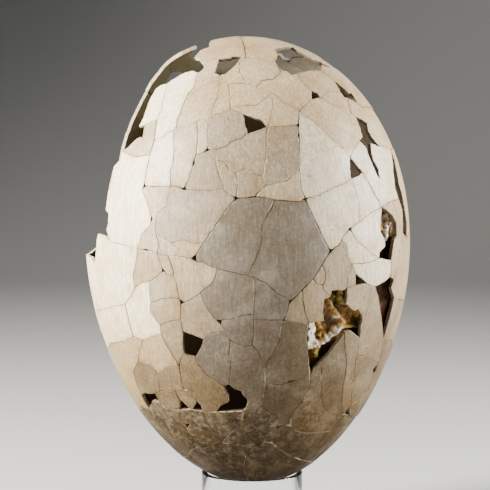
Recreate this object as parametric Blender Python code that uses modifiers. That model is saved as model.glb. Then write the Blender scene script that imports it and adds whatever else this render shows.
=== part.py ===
"""A subfossil moa egg, glued together from its shell fragments and leaning a little in a short clear tube.

Metres, +Z up, the origin under the middle of the egg. The shell is an egg of revolution. Its cracks are
lines drawn over it, and every plate of shell is the patch between them, with its real thickness.
"""
import math

import bmesh
import bpy
import numpy as np
from mathutils import Matrix, Vector
from mathutils.geometry import delaunay_2d_cdt

COLLECTION = "moa_egg"

# Egg outline: half height, half width, how much blunter the top is, and how full the shoulders are
HALF_HEIGHT = 0.1211
HALF_WIDTH = 0.0871
BLUNTNESS = 0.104
FULLNESS = -0.0139
SHELL_THICKNESS = 0.0018
CRACK_GAP = 0.0003

# How far the egg leans to the left in its tube
EGG_LEAN = math.radians(1.81)

# Display tube
TUBE_OUTER_RADIUS = 0.0275
TUBE_WALL = 0.003
TUBE_HEIGHT = 0.036
TUBE_CHAMFER = 0.0005
REST_GAP = 0.0003

# Where the photograph was taken from, and its frame in pixels
VIEW_ELEVATION = math.radians(6.0)
VIEW_DISTANCE = 1.1
METRES_PER_PIXEL = 0.00054
EGG_CENTRE_PIXEL = (248.18, 261.41)
SEARCH_REACH = 0.13
SEARCH_STEPS = 2001

# Points closer than this are one point, and a crack's bends smaller than this are left out
SNAP = 0.0006
BEND = 0.0005

# Plates of shell: how many, the largest area of one, and how far a pointed corner may move back
PLATE_COUNT = 57
LARGEST_PLATE = 0.0052
LONGEST_CORNER = 3.0

# Crumpled film that lines the shell behind the holes at the right, in degrees and metres
FILM_AZIMUTH = (14.0, 76.0)
FILM_HEIGHT = (-0.078, 0.030)
FILM_COLUMNS = 11
FILM_ROWS = 13
FILM_DEPTH = 0.0028
FILM_THICKNESS = 0.0022
FILM_CRUMPLE = 0.0026
FOLDS_ROUND = 9.0
FOLDS_UP = 90.0
FOLDS_CROSSING = 1.6
FOLDS_UPRIGHT = 2.3

# Fineness of the solids
EDGE_STEP = 0.013
FACE_STEP = 0.013
TUBE_SIDES = 48
TUBE_WELD = 0.00005
PROFILE_STEPS = 2001
SLOPE_STEP = 1e-5
TINY = 1e-9

# Flattening of a plate: from this steepness its axes are taken from +Y, and how its outline is kept
NEARLY_UPRIGHT = 0.95
KEEP_INSIDE = 1
FLAT_TOLERANCE = 1e-7

# Fineness of the search for the place where the egg rests
RIM_STEPS = 72
SLIDE_REACH = 0.005
SLIDE_STEPS = 101
HALVINGS = 30

# Bands of the shell, each with the height above the egg's centre that it goes down to, and its quarters
BANDS = [("crown", 0.075), ("shoulder", 0.028), ("belly", -0.026), ("flank", -0.074), ("foot", -1.0)]
SIDES = ["front", "right", "back", "left"]

# Finishes
SHELL_COLOURS = {
    "crown": (0.72, 0.62, 0.47),
    "shoulder": (0.70, 0.60, 0.45),
    "belly": (0.52, 0.44, 0.33),
    "flank": (0.50, 0.41, 0.29),
    "foot": (0.42, 0.34, 0.24),
}
SHELL_ROUGHNESS = 0.55
FILM_COLOUR = (0.55, 0.36, 0.15)
FILM_ROUGHNESS = 0.25
ACRYLIC_COLOUR = (0.95, 0.96, 0.97)
ACRYLIC_ROUGHNESS = 0.05
ACRYLIC_IOR = 1.49


def egg_radius(height):
    """Radius of the egg at a height above its centre: an ellipse, swollen towards the top."""
    s = np.clip(np.asarray(height, dtype=float) / HALF_HEIGHT, -1.0, 1.0)
    return HALF_WIDTH * np.sqrt(1.0 - s * s) * (1.0 + BLUNTNESS * s + FULLNESS * s * s)


PROFILE_HEIGHTS = HALF_HEIGHT * np.cos(np.linspace(0.0, math.pi, PROFILE_STEPS))
PROFILE_RADII = egg_radius(PROFILE_HEIGHTS)
PROFILE_SLOPES = np.arctan2(PROFILE_RADII, PROFILE_HEIGHTS)


def on_egg(directions):
    """The points of the egg that lie in these directions from its centre."""
    d = np.atleast_2d(np.asarray(directions, dtype=float))
    across = np.hypot(d[:, 0], d[:, 1])
    height = np.interp(np.arctan2(across, d[:, 2]), PROFILE_SLOPES, PROFILE_HEIGHTS)
    radius = egg_radius(height)
    scale = radius / np.maximum(across, TINY)
    return np.column_stack([d[:, 0] * scale, d[:, 1] * scale, height])


def sight_lines(pixels):
    """The eye and the directions of its lines of sight through pixels of the photograph."""
    forward = np.array([0.0, math.cos(VIEW_ELEVATION), -math.sin(VIEW_ELEVATION)])
    right = np.array([1.0, 0.0, 0.0])
    up = np.cross(right, forward)
    shift = (np.asarray(pixels, dtype=float) - EGG_CENTRE_PIXEL) * (1.0, -1.0)
    turn = np.array([[math.cos(EGG_LEAN), -math.sin(EGG_LEAN)], [math.sin(EGG_LEAN), math.cos(EGG_LEAN)]])
    u, v = (shift @ turn).T * METRES_PER_PIXEL / VIEW_DISTANCE
    return -VIEW_DISTANCE * forward, forward + u[:, None] * right + v[:, None] * up


def seen(pixels, side):
    """Points of the egg on lines of sight: side 0 is the near wall and side -1 the far wall."""
    eye, directions = sight_lines(pixels)
    steps = np.linspace(VIEW_DISTANCE - SEARCH_REACH, VIEW_DISTANCE + SEARCH_REACH, SEARCH_STEPS)
    points = []
    for direction in directions:
        path = eye + steps[:, None] * direction
        clear = np.hypot(path[:, 0], path[:, 1]) - egg_radius(path[:, 2])
        clear[np.abs(path[:, 2]) >= HALF_HEIGHT] = 1.0
        inside = np.flatnonzero(clear < 0.0)
        points.append(path[inside[side]] if len(inside) else path[np.argmin(clear)])
    return list(on_egg(points))


def front(*pixels):
    """Points of the front of the egg, read in the photograph as (x, y) pixels."""
    return seen(pixels, 0)


def inside(*pixels):
    """Points of the back of the egg that show through its holes, as (x, y) pixels."""
    return seen(pixels, -1)


def back(*places):
    """Points of the hidden side: (degrees round from the front to the right, height in mm)."""
    az, height = np.radians([p[0] for p in places]), np.array([p[1] for p in places]) * 0.001
    r = egg_radius(height)
    return list(np.column_stack([r * np.sin(az), -r * np.cos(az), height]))


# The edges of the large opening in the left side, from its lower corner round by the top
OPENING = [
    front((110, 242), (106, 230), (107.5, 222), (108, 214), (105, 210), (107, 195), (110, 180),
          (113.5, 166), (120, 159), (121, 151), (127, 148), (131, 144), (137, 138), (140, 136.5),
          (142, 138), (145, 124.5), (138.5, 126.5), (143, 117), (147, 106), (150, 98), (155, 89),
          (160, 85), (167, 83), (171, 80), (177, 76.5), (181, 74), (186, 72), (192, 70), (197, 72),
          (200, 71), (204, 67), (203, 63), (199, 58), (194.5, 57), (200, 50), (209, 46.5), (210, 41))
    + back((262, 119.6), (235, 118), (215, 115), (207, 112)) + inside((194, 57.5), (186, 55), (190, 49))
    + inside((195.5, 42.5), (187, 46), (180, 50), (168, 60), (158, 71), (150, 81), (145, 90),
             (140, 99), (135, 109), (130, 120), (126, 131), (122.5, 142), (120, 152))
    + back((239, 48), (236, 36), (240, 22), (245.3, 7.9), (253, 8), (264, 6.4))
    + front((90, 257), (94, 264), (95.5, 250), (96, 240), (97.5, 233.5), (104, 236), (110, 242)),
]

# The rims of the smaller holes
HOLES = [
    front((219, 58.5), (229, 58), (232, 56.5), (241, 56), (238, 61), (235, 65), (230, 69.5),
          (225, 73.5), (220, 75), (214.5, 72.5), (217, 66), (219, 58.5)),
    front((275, 48), (280, 47), (286, 46), (293, 46.5), (300, 51), (306, 54.5), (313, 59), (321, 61),
          (331, 66.5), (327, 66.5), (322, 64.5), (321.5, 70.5), (306, 70.5), (297, 73), (292, 74),
          (287, 70.5), (283, 70), (278, 66.5), (275.5, 59.5), (278, 54), (275, 48)),
    front((312, 90.5), (318, 93.5), (320.5, 97), (312, 98.5), (312, 90.5)),
    front((334.5, 80.5), (340, 85), (345, 89), (350, 94), (351, 92.5), (357, 101.5), (352, 99.5),
          (349, 97), (345, 97), (341, 91), (334.5, 80.5)),
    front((243.5, 114), (254, 117.5), (263, 120.5), (268, 126.5), (257, 130), (248, 133.5),
          (245, 124), (243.5, 114)),
    front((356, 116.5), (362, 119), (367, 123), (368.5, 131), (372, 137), (378, 145), (371, 143),
          (371.5, 150), (374, 160), (379, 169), (380.5, 180), (376, 172), (370, 158), (366, 147),
          (360, 140.5), (363, 137), (361, 129), (356, 116.5)),
    front((350.5, 157.5), (363, 172.5), (358, 176), (351.5, 178.5), (350, 169), (350.5, 157.5)),
    front((391, 150), (394.8, 160), (397.2, 171.5), (398.3, 176.5), (399.3, 184), (401.8, 191.5),
          (403.5, 199), (405, 207), (406, 214.5), (407.4, 223.5), (407.3, 238), (403, 232),
          (402.5, 209.5), (399, 199), (395.7, 188), (393.8, 172), (393, 161), (391, 150)),
    front((382, 207.5), (388, 211), (393, 216), (396.5, 223), (397, 236), (394.5, 240), (393, 250),
          (391.5, 260.5), (386, 259), (380, 258), (380.5, 252.5), (386, 246), (385.5, 240),
          (381.5, 232), (381, 224), (382, 214), (382, 207.5)),
    front((356, 274), (366.5, 283), (356, 285.5), (356, 274)),
    front((376, 286.5), (385, 282), (391, 276.5), (394, 280), (391.5, 288), (395, 299), (391, 316),
          (387, 330), (384, 341), (383, 326), (381, 310), (379, 298), (376, 286.5)),
    front((324.5, 300), (331, 297), (332, 291), (345, 290.5), (347, 288), (347, 295), (346, 303.5),
          (351, 309), (355, 311.5), (358, 309.5), (361, 314), (363, 319), (361.5, 326),
          (360, 338.5), (356, 335), (351.5, 331), (345, 332), (341, 338.5), (336, 345),
          (329, 354), (322, 361), (314.5, 368.5), (310.5, 377), (309, 360), (307.5, 345),
          (307, 333), (308.5, 324), (324.5, 321), (323.5, 313), (324.5, 300)),
    front((183, 332), (192, 335), (203, 339.5), (201, 347), (195, 358), (188, 356), (184, 353),
          (182.5, 342), (183, 332)),
    front((196, 254), (196, 261.5), (191, 259), (196, 254)),
    front((179.5, 299), (184.5, 302.5), (181, 304.5), (179.5, 299)),
    front((216.5, 320), (222, 320), (221, 325.5), (216.5, 320)),
    front((141, 395.5), (144, 393.5), (155, 394), (159.5, 403), (152, 401), (148.5, 408.5),
          (143.5, 401), (141, 395.5)),
    front((179.5, 400), (190.5, 409.5), (180, 409.5), (179.5, 400)),
    front((196.5, 401), (200.5, 406), (202.5, 411.5), (193, 409.5), (196.5, 401)),
    front((184, 424), (189.5, 424), (187.5, 428), (184, 424)),
    front((224, 386.5), (229, 385), (235, 389.5), (241, 391.5), (243, 396), (247, 399), (247.5, 404),
          (245, 409.5), (243, 411), (217, 411.5), (221, 406), (229, 402.5), (229, 397), (226, 391),
          (224, 386.5)),
    front((343.5, 415), (350, 407), (350.5, 415.5), (343.5, 415)),
    front((378.5, 363), (376, 371), (373, 375), (373.5, 369), (378.5, 363)),
    inside((170, 70), (179, 69), (181, 73), (184, 90), (168, 100), (163, 82), (170, 70)),
    inside((278, 50), (284, 50.5), (292, 51), (294, 54), (290, 59.5), (284, 56), (278, 50)),
    back((135, 57), (146, 53), (139, 43), (135, 57)),
    back((176, -22), (186, -19.5), (178, -35), (176, -22)),
    back((218, -58), (228, -54.5), (225, -69), (218, -58)),
    back((118, 27), (128, 23.8), (121, 13), (118, 27)),
]

# Cracks of the crown and the shoulder
CROWN_CRACKS = [
    back((207, 112), (185, 113), (178, 99)),
    back((185, 113), (190, 119.6)) + front((244, 46), (245.5, 57.5)),
    front((199, 58), (219, 58.5)),
    front((214.5, 72.5), (211, 70), (204, 67)),
    front((241, 56), (245.5, 57.5), (258, 58.5), (275, 65.5), (278, 66.5)),
    front((245.5, 57.5), (240, 62), (240, 72), (246, 81), (250, 85)),
    front((220, 75), (224, 80), (229, 84), (236, 83), (243, 83), (250, 85), (256, 87), (268, 90),
          (278, 97), (284, 103), (291, 105), (299, 111)),
    front((278, 66.5), (280, 71), (273, 79), (262, 80), (256, 87)),
    front((220, 75), (219, 88), (217, 99), (212, 108), (211, 114), (208, 121), (207.5, 135),
          (207.5, 150)),
    front((229, 84), (230, 95), (231, 107.5)),
    front((211, 114), (220, 113), (231, 107.5), (245, 105.5), (256, 105), (264, 100), (272, 93.5)),
    front((243.5, 114), (237, 110.5), (231, 107.5)),
    front((272, 93.5), (273, 108), (271, 117), (268, 126.5)),
    front((268, 126.5), (280, 126.5), (298.5, 125)),
    front((297, 73), (302, 81), (312, 90.5)),
    front((312, 98.5), (305, 104), (299, 111)),
    front((320.5, 97), (328, 101), (334, 105), (343, 107), (352, 113), (356, 116.5)),
    front((321.5, 70.5), (331, 77), (334.5, 80.5)),
    front((357, 101.5), (363, 107)) + back((85, 80)),
    front((378, 145), (385, 147), (391, 150)),
    front((320.5, 97), (330, 90), (341, 91)),
]

# Cracks of the upper front
UPPER_CRACKS = [
    front((299, 111), (298.5, 125), (299, 135), (300, 145), (300, 170), (300.5, 180), (302, 190),
          (305.5, 199)),
    front((299, 111), (305, 116), (315, 122.5), (322, 129), (332, 139), (342, 148), (350.5, 157.5)),
    front((360, 140.5), (354, 149), (350.5, 157.5)),
    front((351.5, 178.5), (345, 183), (338, 186), (330, 189), (320, 195), (305.5, 199)),
    front((363, 172.5), (368, 181), (373, 190), (380, 203), (382, 207.5)),
    front((380.5, 180), (379.5, 192), (380, 203)),
    front((382, 207.5), (390, 202), (399, 199)),
    front((197, 72), (195, 82), (192, 89), (188, 93), (184, 101), (181, 110), (177, 119),
          (176, 127), (173.5, 130)),
    front((173.5, 130), (174, 141), (174, 152), (173, 164), (170, 171), (171, 186)),
    front((171, 186), (176, 186), (184, 189)),
    front((184, 189), (187, 182), (190, 174), (193.5, 163), (196, 154), (198, 138), (197, 121)),
    front((197, 121), (188, 124), (181, 126), (176, 127)),
    front((197, 121), (201, 118.5), (208, 121)),
    front((196, 154), (200, 153.5), (207.5, 150), (217, 149)),
    front((217, 149), (215.5, 160), (217.5, 170), (221, 180), (224, 190)),
    front((217, 149), (225, 146.5), (231, 142), (241, 138), (248, 133.5)),
    front((184, 189), (190, 190), (203, 190.5), (213, 191), (224, 190), (230, 195), (236, 198.5)),
    front((215.5, 160), (225, 162), (229, 170), (236, 173), (244, 169), (252, 173), (263.5, 177)),
    front((268, 126.5), (266.5, 140), (266.5, 150), (264.5, 165), (263.5, 177), (266, 186)),
    front((236, 173), (238, 184), (236, 198.5)),
    front((266, 186), (262, 190), (257, 194.5), (255, 197)),
    front((266, 186), (274, 184.5), (281, 182.5), (288, 180.5), (300, 170)),
    front((167, 83), (166, 91), (163, 98), (161, 110), (157, 119), (155.5, 128), (154, 140),
          (150, 155), (146, 172), (144, 186)),
    front((173.5, 130), (168, 131.5), (163, 136), (154, 140)),
    front((145, 124.5), (150, 122), (157, 119)),
    front((144, 186), (154, 186.5), (163, 186.5), (171, 186)),
    front((121, 151), (134, 157), (150, 155)),
]

# Cracks of the belly, from the large dark plate in the middle outwards
BELLY_CRACKS = [
    front((236, 198.5), (245, 198), (255, 197), (263, 197), (274, 199.5), (282, 200.5), (298, 201.5),
          (305.5, 199)),
    front((305.5, 199), (309, 206), (313, 216), (318, 226), (323, 237), (327, 245), (331, 251)),
    front((331, 251), (326, 258), (322, 265), (318, 272), (313, 279), (308, 284.5), (303, 289),
          (298, 295), (290, 301.5)),
    front((290, 301.5), (285, 297), (277, 293.5), (271, 288), (267, 283), (260, 280.5), (254, 277.5),
          (248, 275.5)),
    front((248, 275.5), (240, 274.5), (231, 272), (223, 270), (217, 268.5), (210, 266), (203, 262),
          (196, 261.5)),
    front((236, 198.5), (231, 204), (226, 210.5), (221, 218), (213, 229), (208, 236), (203, 243),
          (200, 249), (196, 254)),
    front((274, 199.5), (272, 207), (268, 213), (264, 220), (261, 227), (262, 240), (259, 250),
          (256, 259), (252, 266), (248, 275.5)),
    front((331, 251), (340, 244), (342, 239), (346, 233), (350, 229), (360, 222), (371, 213),
          (382, 207.5)),
    front((342, 239), (347, 247), (348.5, 258), (352, 264), (356, 274)),
    front((350, 229), (357, 240), (368, 250), (373, 255), (380, 258)),
    front((313, 279), (317, 284), (323, 285), (324, 291), (331, 297)),
    front((322, 265), (326, 274), (325, 281), (323, 285)),
    front((366.5, 283), (371, 286), (376, 286.5)),
    front((371, 286), (369, 295), (368, 305), (363, 319)),
    front((356, 285.5), (350, 287), (347, 288)),
    front((391.5, 260.5), (391.5, 268), (391, 276.5)),
    front((403, 232), (399.5, 250), (399, 265), (394, 280)),
    front((308.5, 324), (299, 323), (290, 322), (283.5, 320)),
    front((144, 186), (142, 190), (144.5, 196), (147, 203), (149.5, 211), (151.5, 219), (150, 225),
          (146, 230), (142, 234), (140, 240), (137, 248.5)),
    front((110, 242), (120, 244), (130, 247), (137, 248.5), (146, 250), (152, 250.5), (157, 254)),
    front((171, 186), (168, 196), (167, 206), (158, 213), (155, 222), (156, 234), (159, 246),
          (157, 254)),
    front((156, 234), (166, 240), (172, 243), (178, 250), (178, 256), (168, 256), (157, 254)),
    front((178, 256), (184, 257), (191, 259)),
    front((172, 243), (184, 240), (195, 244), (203, 243)),
    front((157, 254), (160, 262), (163, 270.5)),
    front((163, 270.5), (156, 277), (149, 282)),
    front((163, 270.5), (168, 275), (174, 277.5), (176, 283), (178, 292), (179.5, 299)),
    front((174, 277.5), (173, 270), (168, 256)),
    front((149, 282), (149.5, 292), (150.5, 302), (150, 312), (155, 319), (160, 325), (161, 334)),
    front((184.5, 302.5), (190, 300), (195, 296.5), (200, 293), (206, 288), (211, 284), (215, 278),
          (217, 268.5)),
    front((181, 304.5), (180.5, 313), (180.5, 320), (183, 332)),
    front((150.5, 302), (155, 301.5), (162, 299), (170, 298), (179.5, 299)),
    front((160, 325), (165, 323), (172, 320.5), (180.5, 320)),
    front((149, 282), (141, 283), (134, 289), (131, 296), (125, 304)),
    front((137, 248.5), (136, 262), (133, 275), (134, 289)),
    front((125, 304), (113, 307), (100, 310)) + back((283, -22), (272, -20)),
]

# Cracks of the lower front
LOWER_CRACKS = [
    front((200, 293), (203, 300), (207, 309), (213, 316), (216.5, 320)),
    front((222, 320), (231, 319), (240, 316.5), (254, 313.5)),
    front((254, 277.5), (254.5, 290), (254.5, 302), (254, 313.5), (253.5, 320)),
    front((253.5, 320), (262, 320), (275, 320), (283.5, 320)),
    front((290, 301.5), (288, 309), (285.5, 316), (283.5, 320), (281, 329), (279.5, 339), (275, 350),
          (268, 360), (264.5, 368)),
    front((253.5, 320), (254, 330), (252.5, 345), (258, 351), (262, 360), (264.5, 368)),
    front((221, 325.5), (224, 331), (230, 340), (229, 352), (231, 368), (229, 385)),
    front((203, 339.5), (212, 334), (224, 331)),
    front((230, 340), (238, 344), (246, 347), (252.5, 345)),
    front((264.5, 368), (264, 378), (265.5, 388), (263, 397), (261, 408), (255, 411), (247, 413),
          (243, 411)),
    front((265.5, 388), (272, 384), (282, 385), (290, 382), (299, 380), (310.5, 377)),
    front((310.5, 377), (310.5, 388), (304, 396), (302, 403), (295, 410), (291, 420), (291, 426),
          (296, 431), (304, 433), (318, 433), (330, 431)),
    front((322, 361), (321.5, 380), (321, 396), (323, 406), (326, 411), (333, 415), (340, 418),
          (343.5, 415)),
    front((340, 418), (335, 425), (330, 431), (326, 438), (316, 446), (306, 452), (296, 458)),
    front((360, 338.5), (358.5, 347), (357.5, 355), (355.5, 363), (354, 375), (352, 390), (350, 407)),
    front((345, 332), (344.5, 345), (347, 360), (346, 372), (343, 388), (342, 402), (343.5, 415)),
    front((357.5, 355), (366, 357), (374, 361), (378.5, 363)),
    front((384, 341), (382, 352), (378.5, 363)),
    front((373, 375), (365, 393), (350, 407)),
    front((261, 408), (268, 411), (276, 416), (279, 420), (277.5, 428), (274, 436), (272, 443)),
    front((277.5, 428), (284, 425), (291, 426)),
    front((243, 411), (242, 420), (237, 424), (235, 430), (231, 432), (226, 438), (222, 443)),
    front((222, 443), (231, 444), (241, 447), (250, 443), (260, 441), (272, 443), (284, 452),
          (296, 458)),
    front((241, 447), (245, 456), (243, 466)) + back((0, -121.1)),
    front((155, 394), (160, 391), (168, 390.5), (175, 390.5), (184, 390), (192, 390), (196.5, 401)),
    front((175, 390.5), (177, 396), (179.5, 400)),
    front((190.5, 409.5), (193, 409.5)),
    front((180, 409.5), (180, 418), (184, 424)),
    front((202.5, 411.5), (209, 412), (217, 411.5)),
    front((159.5, 403), (165, 408), (180, 409.5)),
    front((187.5, 428), (189, 436), (196, 447), (203, 449), (209, 447), (222, 443)),
    front((202.5, 411.5), (207, 424), (216, 434), (222, 443)),
    front((161, 334), (166, 345), (172, 355), (179, 366), (181, 378), (184, 390)),
    front((184, 353), (181, 359), (179, 366)),
    front((195, 358), (198, 364), (204, 372), (209, 377), (216, 380), (224, 386.5)),
    front((161, 334), (152, 337), (143, 340), (139, 352), (138, 362), (133, 372), (136, 384),
          (141, 395.5)),
    front((125, 304), (127, 314), (130, 326), (133, 337), (143, 340)),
    front((133, 337), (122, 341), (110, 344)) + back((282, -43), (272, -46)),
    front((138, 362), (150, 364), (158, 374), (160, 391)),
    front((148.5, 408.5), (152, 416), (165, 428), (178, 440), (185, 457)),
    front((148.5, 408.5), (142, 407)) + back((278, -78), (268, -82)),
    front((185, 457), (190, 451), (196, 447)),
]

# Cracks of the hidden side
BACK_CRACKS = [
    front((331, 66.5)) + back((92, 101), (112, 106), (132, 100), (156, 104), (178, 99), (200, 103))
    + inside((181, 73)),
    front((321, 61)) + back((85, 108), (112, 110)) + inside((294, 54)),
    inside((278, 50)) + back((165, 116), (185, 113)),
    inside((290, 59.5)) + back((132, 100)),
    back((207, 112), (200, 103)),
    inside((194, 57.5), (179, 69)),
    inside((186, 55), (170, 70), (168, 60)),
    inside((145, 90)) + back((233, 90)) + inside((168, 100)),
    back((85, 80), (104, 85), (126, 78), (148, 83), (172, 76), (196, 80), (220, 72)) + inside((126, 131)),
    back((196, 80)) + inside((184, 90)),
    front((391, 150)) + back((95, 58), (115, 50), (135, 57), (146, 53), (160, 48), (186, 54), (212, 45),
                             (239, 48)),
    front((407.3, 238)) + back((96, 18), (118, 27), (128, 23.8), (142, 19), (168, 25), (192, 15), (216, 22),
                               (240, 22)),
    front((395, 299), (404, 300)) + back((98, -14), (124, -24), (150, -12), (176, -22), (186, -19.5),
                                         (204, -14), (230, -24), (256, -14), (272, -20)),
    front((384, 341), (391, 340)) + back((88, -48), (112, -55), (138, -46), (166, -57), (190, -49),
                                         (218, -58), (228, -54.5), (246, -50), (272, -46)),
    front((350.5, 415.5), (353.5, 417)) + back((85, -84), (110, -90), (140, -82), (170, -91),
                                               (200, -83), (232, -90), (268, -82)),
    front((296, 458), (306, 461)) + back((75, -108), (130, -109), (180, -105), (230, -109), (285, -104))
    + front((185, 457)),
    back((92, 101), (88, 90), (85, 80)),
    back((132, 100), (128, 89), (126, 78)),
    back((156, 104), (150, 92), (148, 83)),
    back((178, 99), (176, 88), (172, 76)),
    back((200, 103), (199, 92), (196, 80)),
    back((104, 85), (104, 70), (95, 58)),
    back((126, 78), (122, 64), (115, 50)),
    back((148, 83), (141, 69), (135, 57)),
    back((172, 76), (165, 62), (160, 48)),
    back((196, 80), (190, 66), (186, 54)),
    back((220, 72), (217, 60), (212, 45)),
    back((95, 58), (92, 38), (96, 18)),
    back((115, 50), (120, 38), (118, 27)),
    back((139, 43), (143, 32), (142, 19)),
    back((160, 48), (163, 36), (168, 25)),
    back((186, 54), (186, 34), (192, 15)),
    back((212, 45), (218, 34), (216, 22)),
    back((96, 18), (90, 2), (98, -14)),
    back((121, 13), (122, -6), (124, -24)),
    back((142, 19), (150, 5), (150, -12)),
    back((168, 25), (172, 2), (176, -22)),
    back((192, 15), (200, 2), (204, -14)),
    back((216, 22), (224, 0), (230, -24)),
    back((245.3, 7.9), (252, -4), (256, -14)),
    back((124, -24), (118, -40), (112, -55)),
    back((150, -12), (143, -30), (138, -46)),
    back((178, -35), (172, -46), (166, -57)),
    back((204, -14), (196, -32), (190, -49)),
    back((230, -24), (224, -42), (218, -58)),
    back((256, -14), (250, -34), (246, -50)),
    back((272, -20), (275, -34), (272, -46)),
    back((98, -14), (94, -30), (88, -48)),
    back((88, -48), (84, -66), (85, -84)),
    back((112, -55), (108, -72), (110, -90)),
    back((138, -46), (144, -64), (140, -82)),
    back((166, -57), (172, -74), (170, -91)),
    back((190, -49), (196, -66), (200, -83)),
    back((225, -69), (230, -78), (232, -90)),
    back((246, -50), (256, -66), (268, -82)),
    back((110, -90), (120, -99), (130, -109)),
    back((140, -82), (160, -96), (180, -105)),
    back((200, -83), (216, -97), (230, -109)),
    back((268, -82), (274, -94), (285, -104)),
    back((130, -109), (120, -117), (0, -121.1)),
    back((230, -109), (240, -117), (0, -121.1)),
]

def number_points(lines):
    """Every different point once, and each line as a list of point numbers."""
    points = np.empty((0, 3))
    paths = []
    for line in lines:
        path = []
        for point in line:
            apart = np.linalg.norm(points - point, axis=1)
            if len(points) and apart.min() < SNAP:
                number = int(apart.argmin())
            else:
                number = len(points)
                points = np.vstack([points, point])
            if not path or path[-1] != number:
                path.append(number)
        paths.append(path)
    return points, paths


def neighbours_of(edges):
    """For every point, the set of points that a crack joins it to."""
    beside = {}
    for a, b in edges:
        beside.setdefault(a, set()).add(b)
        beside.setdefault(b, set()).add(a)
    return beside


def trim_loose_ends(edges):
    """Leave out cracks that end in the middle of a plate."""
    while True:
        beside = neighbours_of(edges)
        loose = {e for e in edges if len(beside[e[0]]) == 1 or len(beside[e[1]]) == 1}
        if not loose:
            return edges
        edges = edges - loose


def trace_loops(points, edges):
    """The outline of every patch between the cracks, counter-clockwise seen from outside the egg."""
    beside = neighbours_of(edges)
    turn = {}
    for a, around in beside.items():
        out = points[a] / np.linalg.norm(points[a])
        east, north = flat_map(out)
        order = sorted(around, key=lambda b: math.atan2((points[b] - points[a]) @ north,
                                                        (points[b] - points[a]) @ east))
        for place, b in enumerate(order):
            turn[(b, a)] = order[place - 1]
    loops, used = [], set()
    for start in sorted(turn):
        if start in used:
            continue
        loop, step = [], start
        while step not in used:
            used.add(step)
            loop.append(step[0])
            step = (step[1], turn[step])
        loops.append(loop)
    return loops


def loop_area(points, loop):
    """Area of the patch inside a loop on the egg."""
    ring = points[loop]
    middle = ring.mean(axis=0)
    area = 0.5 * np.cross(ring - middle, np.roll(ring, -1, axis=0) - middle).sum(axis=0)
    return float(area @ middle / np.linalg.norm(middle))


def directed(loop):
    """The edges of a loop, in its direction."""
    return {(a, b) for a, b in zip(loop, loop[1:] + loop[:1])}


def closed_outline(edges):
    """The one simple loop that these edges make, or None."""
    following = dict(edges)
    if len(following) != len(edges) or not edges:
        return None
    start = min(following)
    loop, step = [start], following[start]
    while step != start and step in following and len(loop) <= len(edges):
        loop.append(step)
        step = following[step]
    return loop if len(loop) == len(edges) and step == start else None


def group_fragments(points, fragments):
    """Join the smallest fragments to the neighbour along their longest crack, down to the plate count."""
    groups = [{"edges": directed(loop), "area": loop_area(points, loop)} for loop in fragments]
    while len(groups) > PLATE_COUNT:
        choice = None
        for small in sorted(groups, key=lambda g: g["area"]):
            shared = []
            for other in groups:
                common = {e for e in small["edges"] if (e[1], e[0]) in other["edges"]}
                if other is small or not common:
                    continue
                outline = (small["edges"] | other["edges"]) - common - {(b, a) for a, b in common}
                area = small["area"] + other["area"]
                if area > LARGEST_PLATE or closed_outline(outline) is None:
                    continue
                length = sum(np.linalg.norm(points[a] - points[b]) for a, b in common)
                shared.append((length / math.sqrt(area), outline, other))
            if shared:
                choice = small, max(shared, key=lambda s: s[0])
                break
        if choice is None:
            break
        small, (_, outline, other) = choice
        groups.remove(small)
        other["edges"] = outline
        other["area"] += small["area"]
    return groups


def straighten(points, chain):
    """Leave out the points of a crack that hardly bend it sideways."""
    if len(chain) < 3:
        return chain
    first, last, middle = points[chain[0]], points[chain[-1]], points[chain[1:-1]]
    across = np.cross(first, last)
    if chain[0] == chain[-1]:
        away = np.linalg.norm(middle - first, axis=1)
    else:
        away = np.abs(middle @ (across / np.linalg.norm(across)))
    if away.max() < BEND:
        return [chain[0], chain[-1]]
    split = int(away.argmax()) + 1
    return straighten(points, chain[:split + 1])[:-1] + straighten(points, chain[split:])


def shared_lines(points, groups):
    """The straightened line of every crack between two plates, found by its first two points."""
    edges = {tuple(sorted(e)) for group in groups for e in group["edges"]}
    beside = neighbours_of(edges)
    corners = {a for a in beside if len(beside[a]) > 2}
    for group in groups:
        loop = closed_outline(group["edges"])
        if not corners & set(loop):
            corners.add(min(loop))
    lines = {}
    for start in sorted(corners):
        for second in sorted(beside[start]):
            chain = [start, second]
            while chain[-1] not in corners:
                chain.append(min(beside[chain[-1]] - {chain[-2]}))
            if (start, second) not in lines:
                line = straighten(points, chain)
                lines[(start, second)] = line
                lines[(chain[-1], chain[-2])] = line[::-1]
    return corners, lines


def subdivided(points):
    """A line with points added on the egg where it would leave it."""
    line = [points[0]]
    for a, b in zip(points, points[1:]):
        count = max(1, math.ceil(np.linalg.norm(b - a) / EDGE_STEP))
        steps = np.linspace(0.0, 1.0, count + 1)[1:, None]
        line += list(on_egg(a + steps * (b - a)))
    return line


def outward(points):
    """The egg's outward normals at points on it."""
    radius = np.hypot(points[:, 0], points[:, 1])
    low = np.clip(points[:, 2] - SLOPE_STEP, -HALF_HEIGHT, HALF_HEIGHT)
    high = np.clip(points[:, 2] + SLOPE_STEP, -HALF_HEIGHT, HALF_HEIGHT)
    rise, run = high - low, egg_radius(high) - egg_radius(low)
    round_part = points[:, :2] / np.maximum(radius, TINY)[:, None]
    normals = np.column_stack([round_part * rise[:, None], -run])
    pole = radius < SLOPE_STEP
    normals[pole] = np.column_stack([np.zeros((pole.sum(), 2)), np.sign(points[pole, 2])])
    return normals / np.linalg.norm(normals, axis=1)[:, None]


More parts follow.
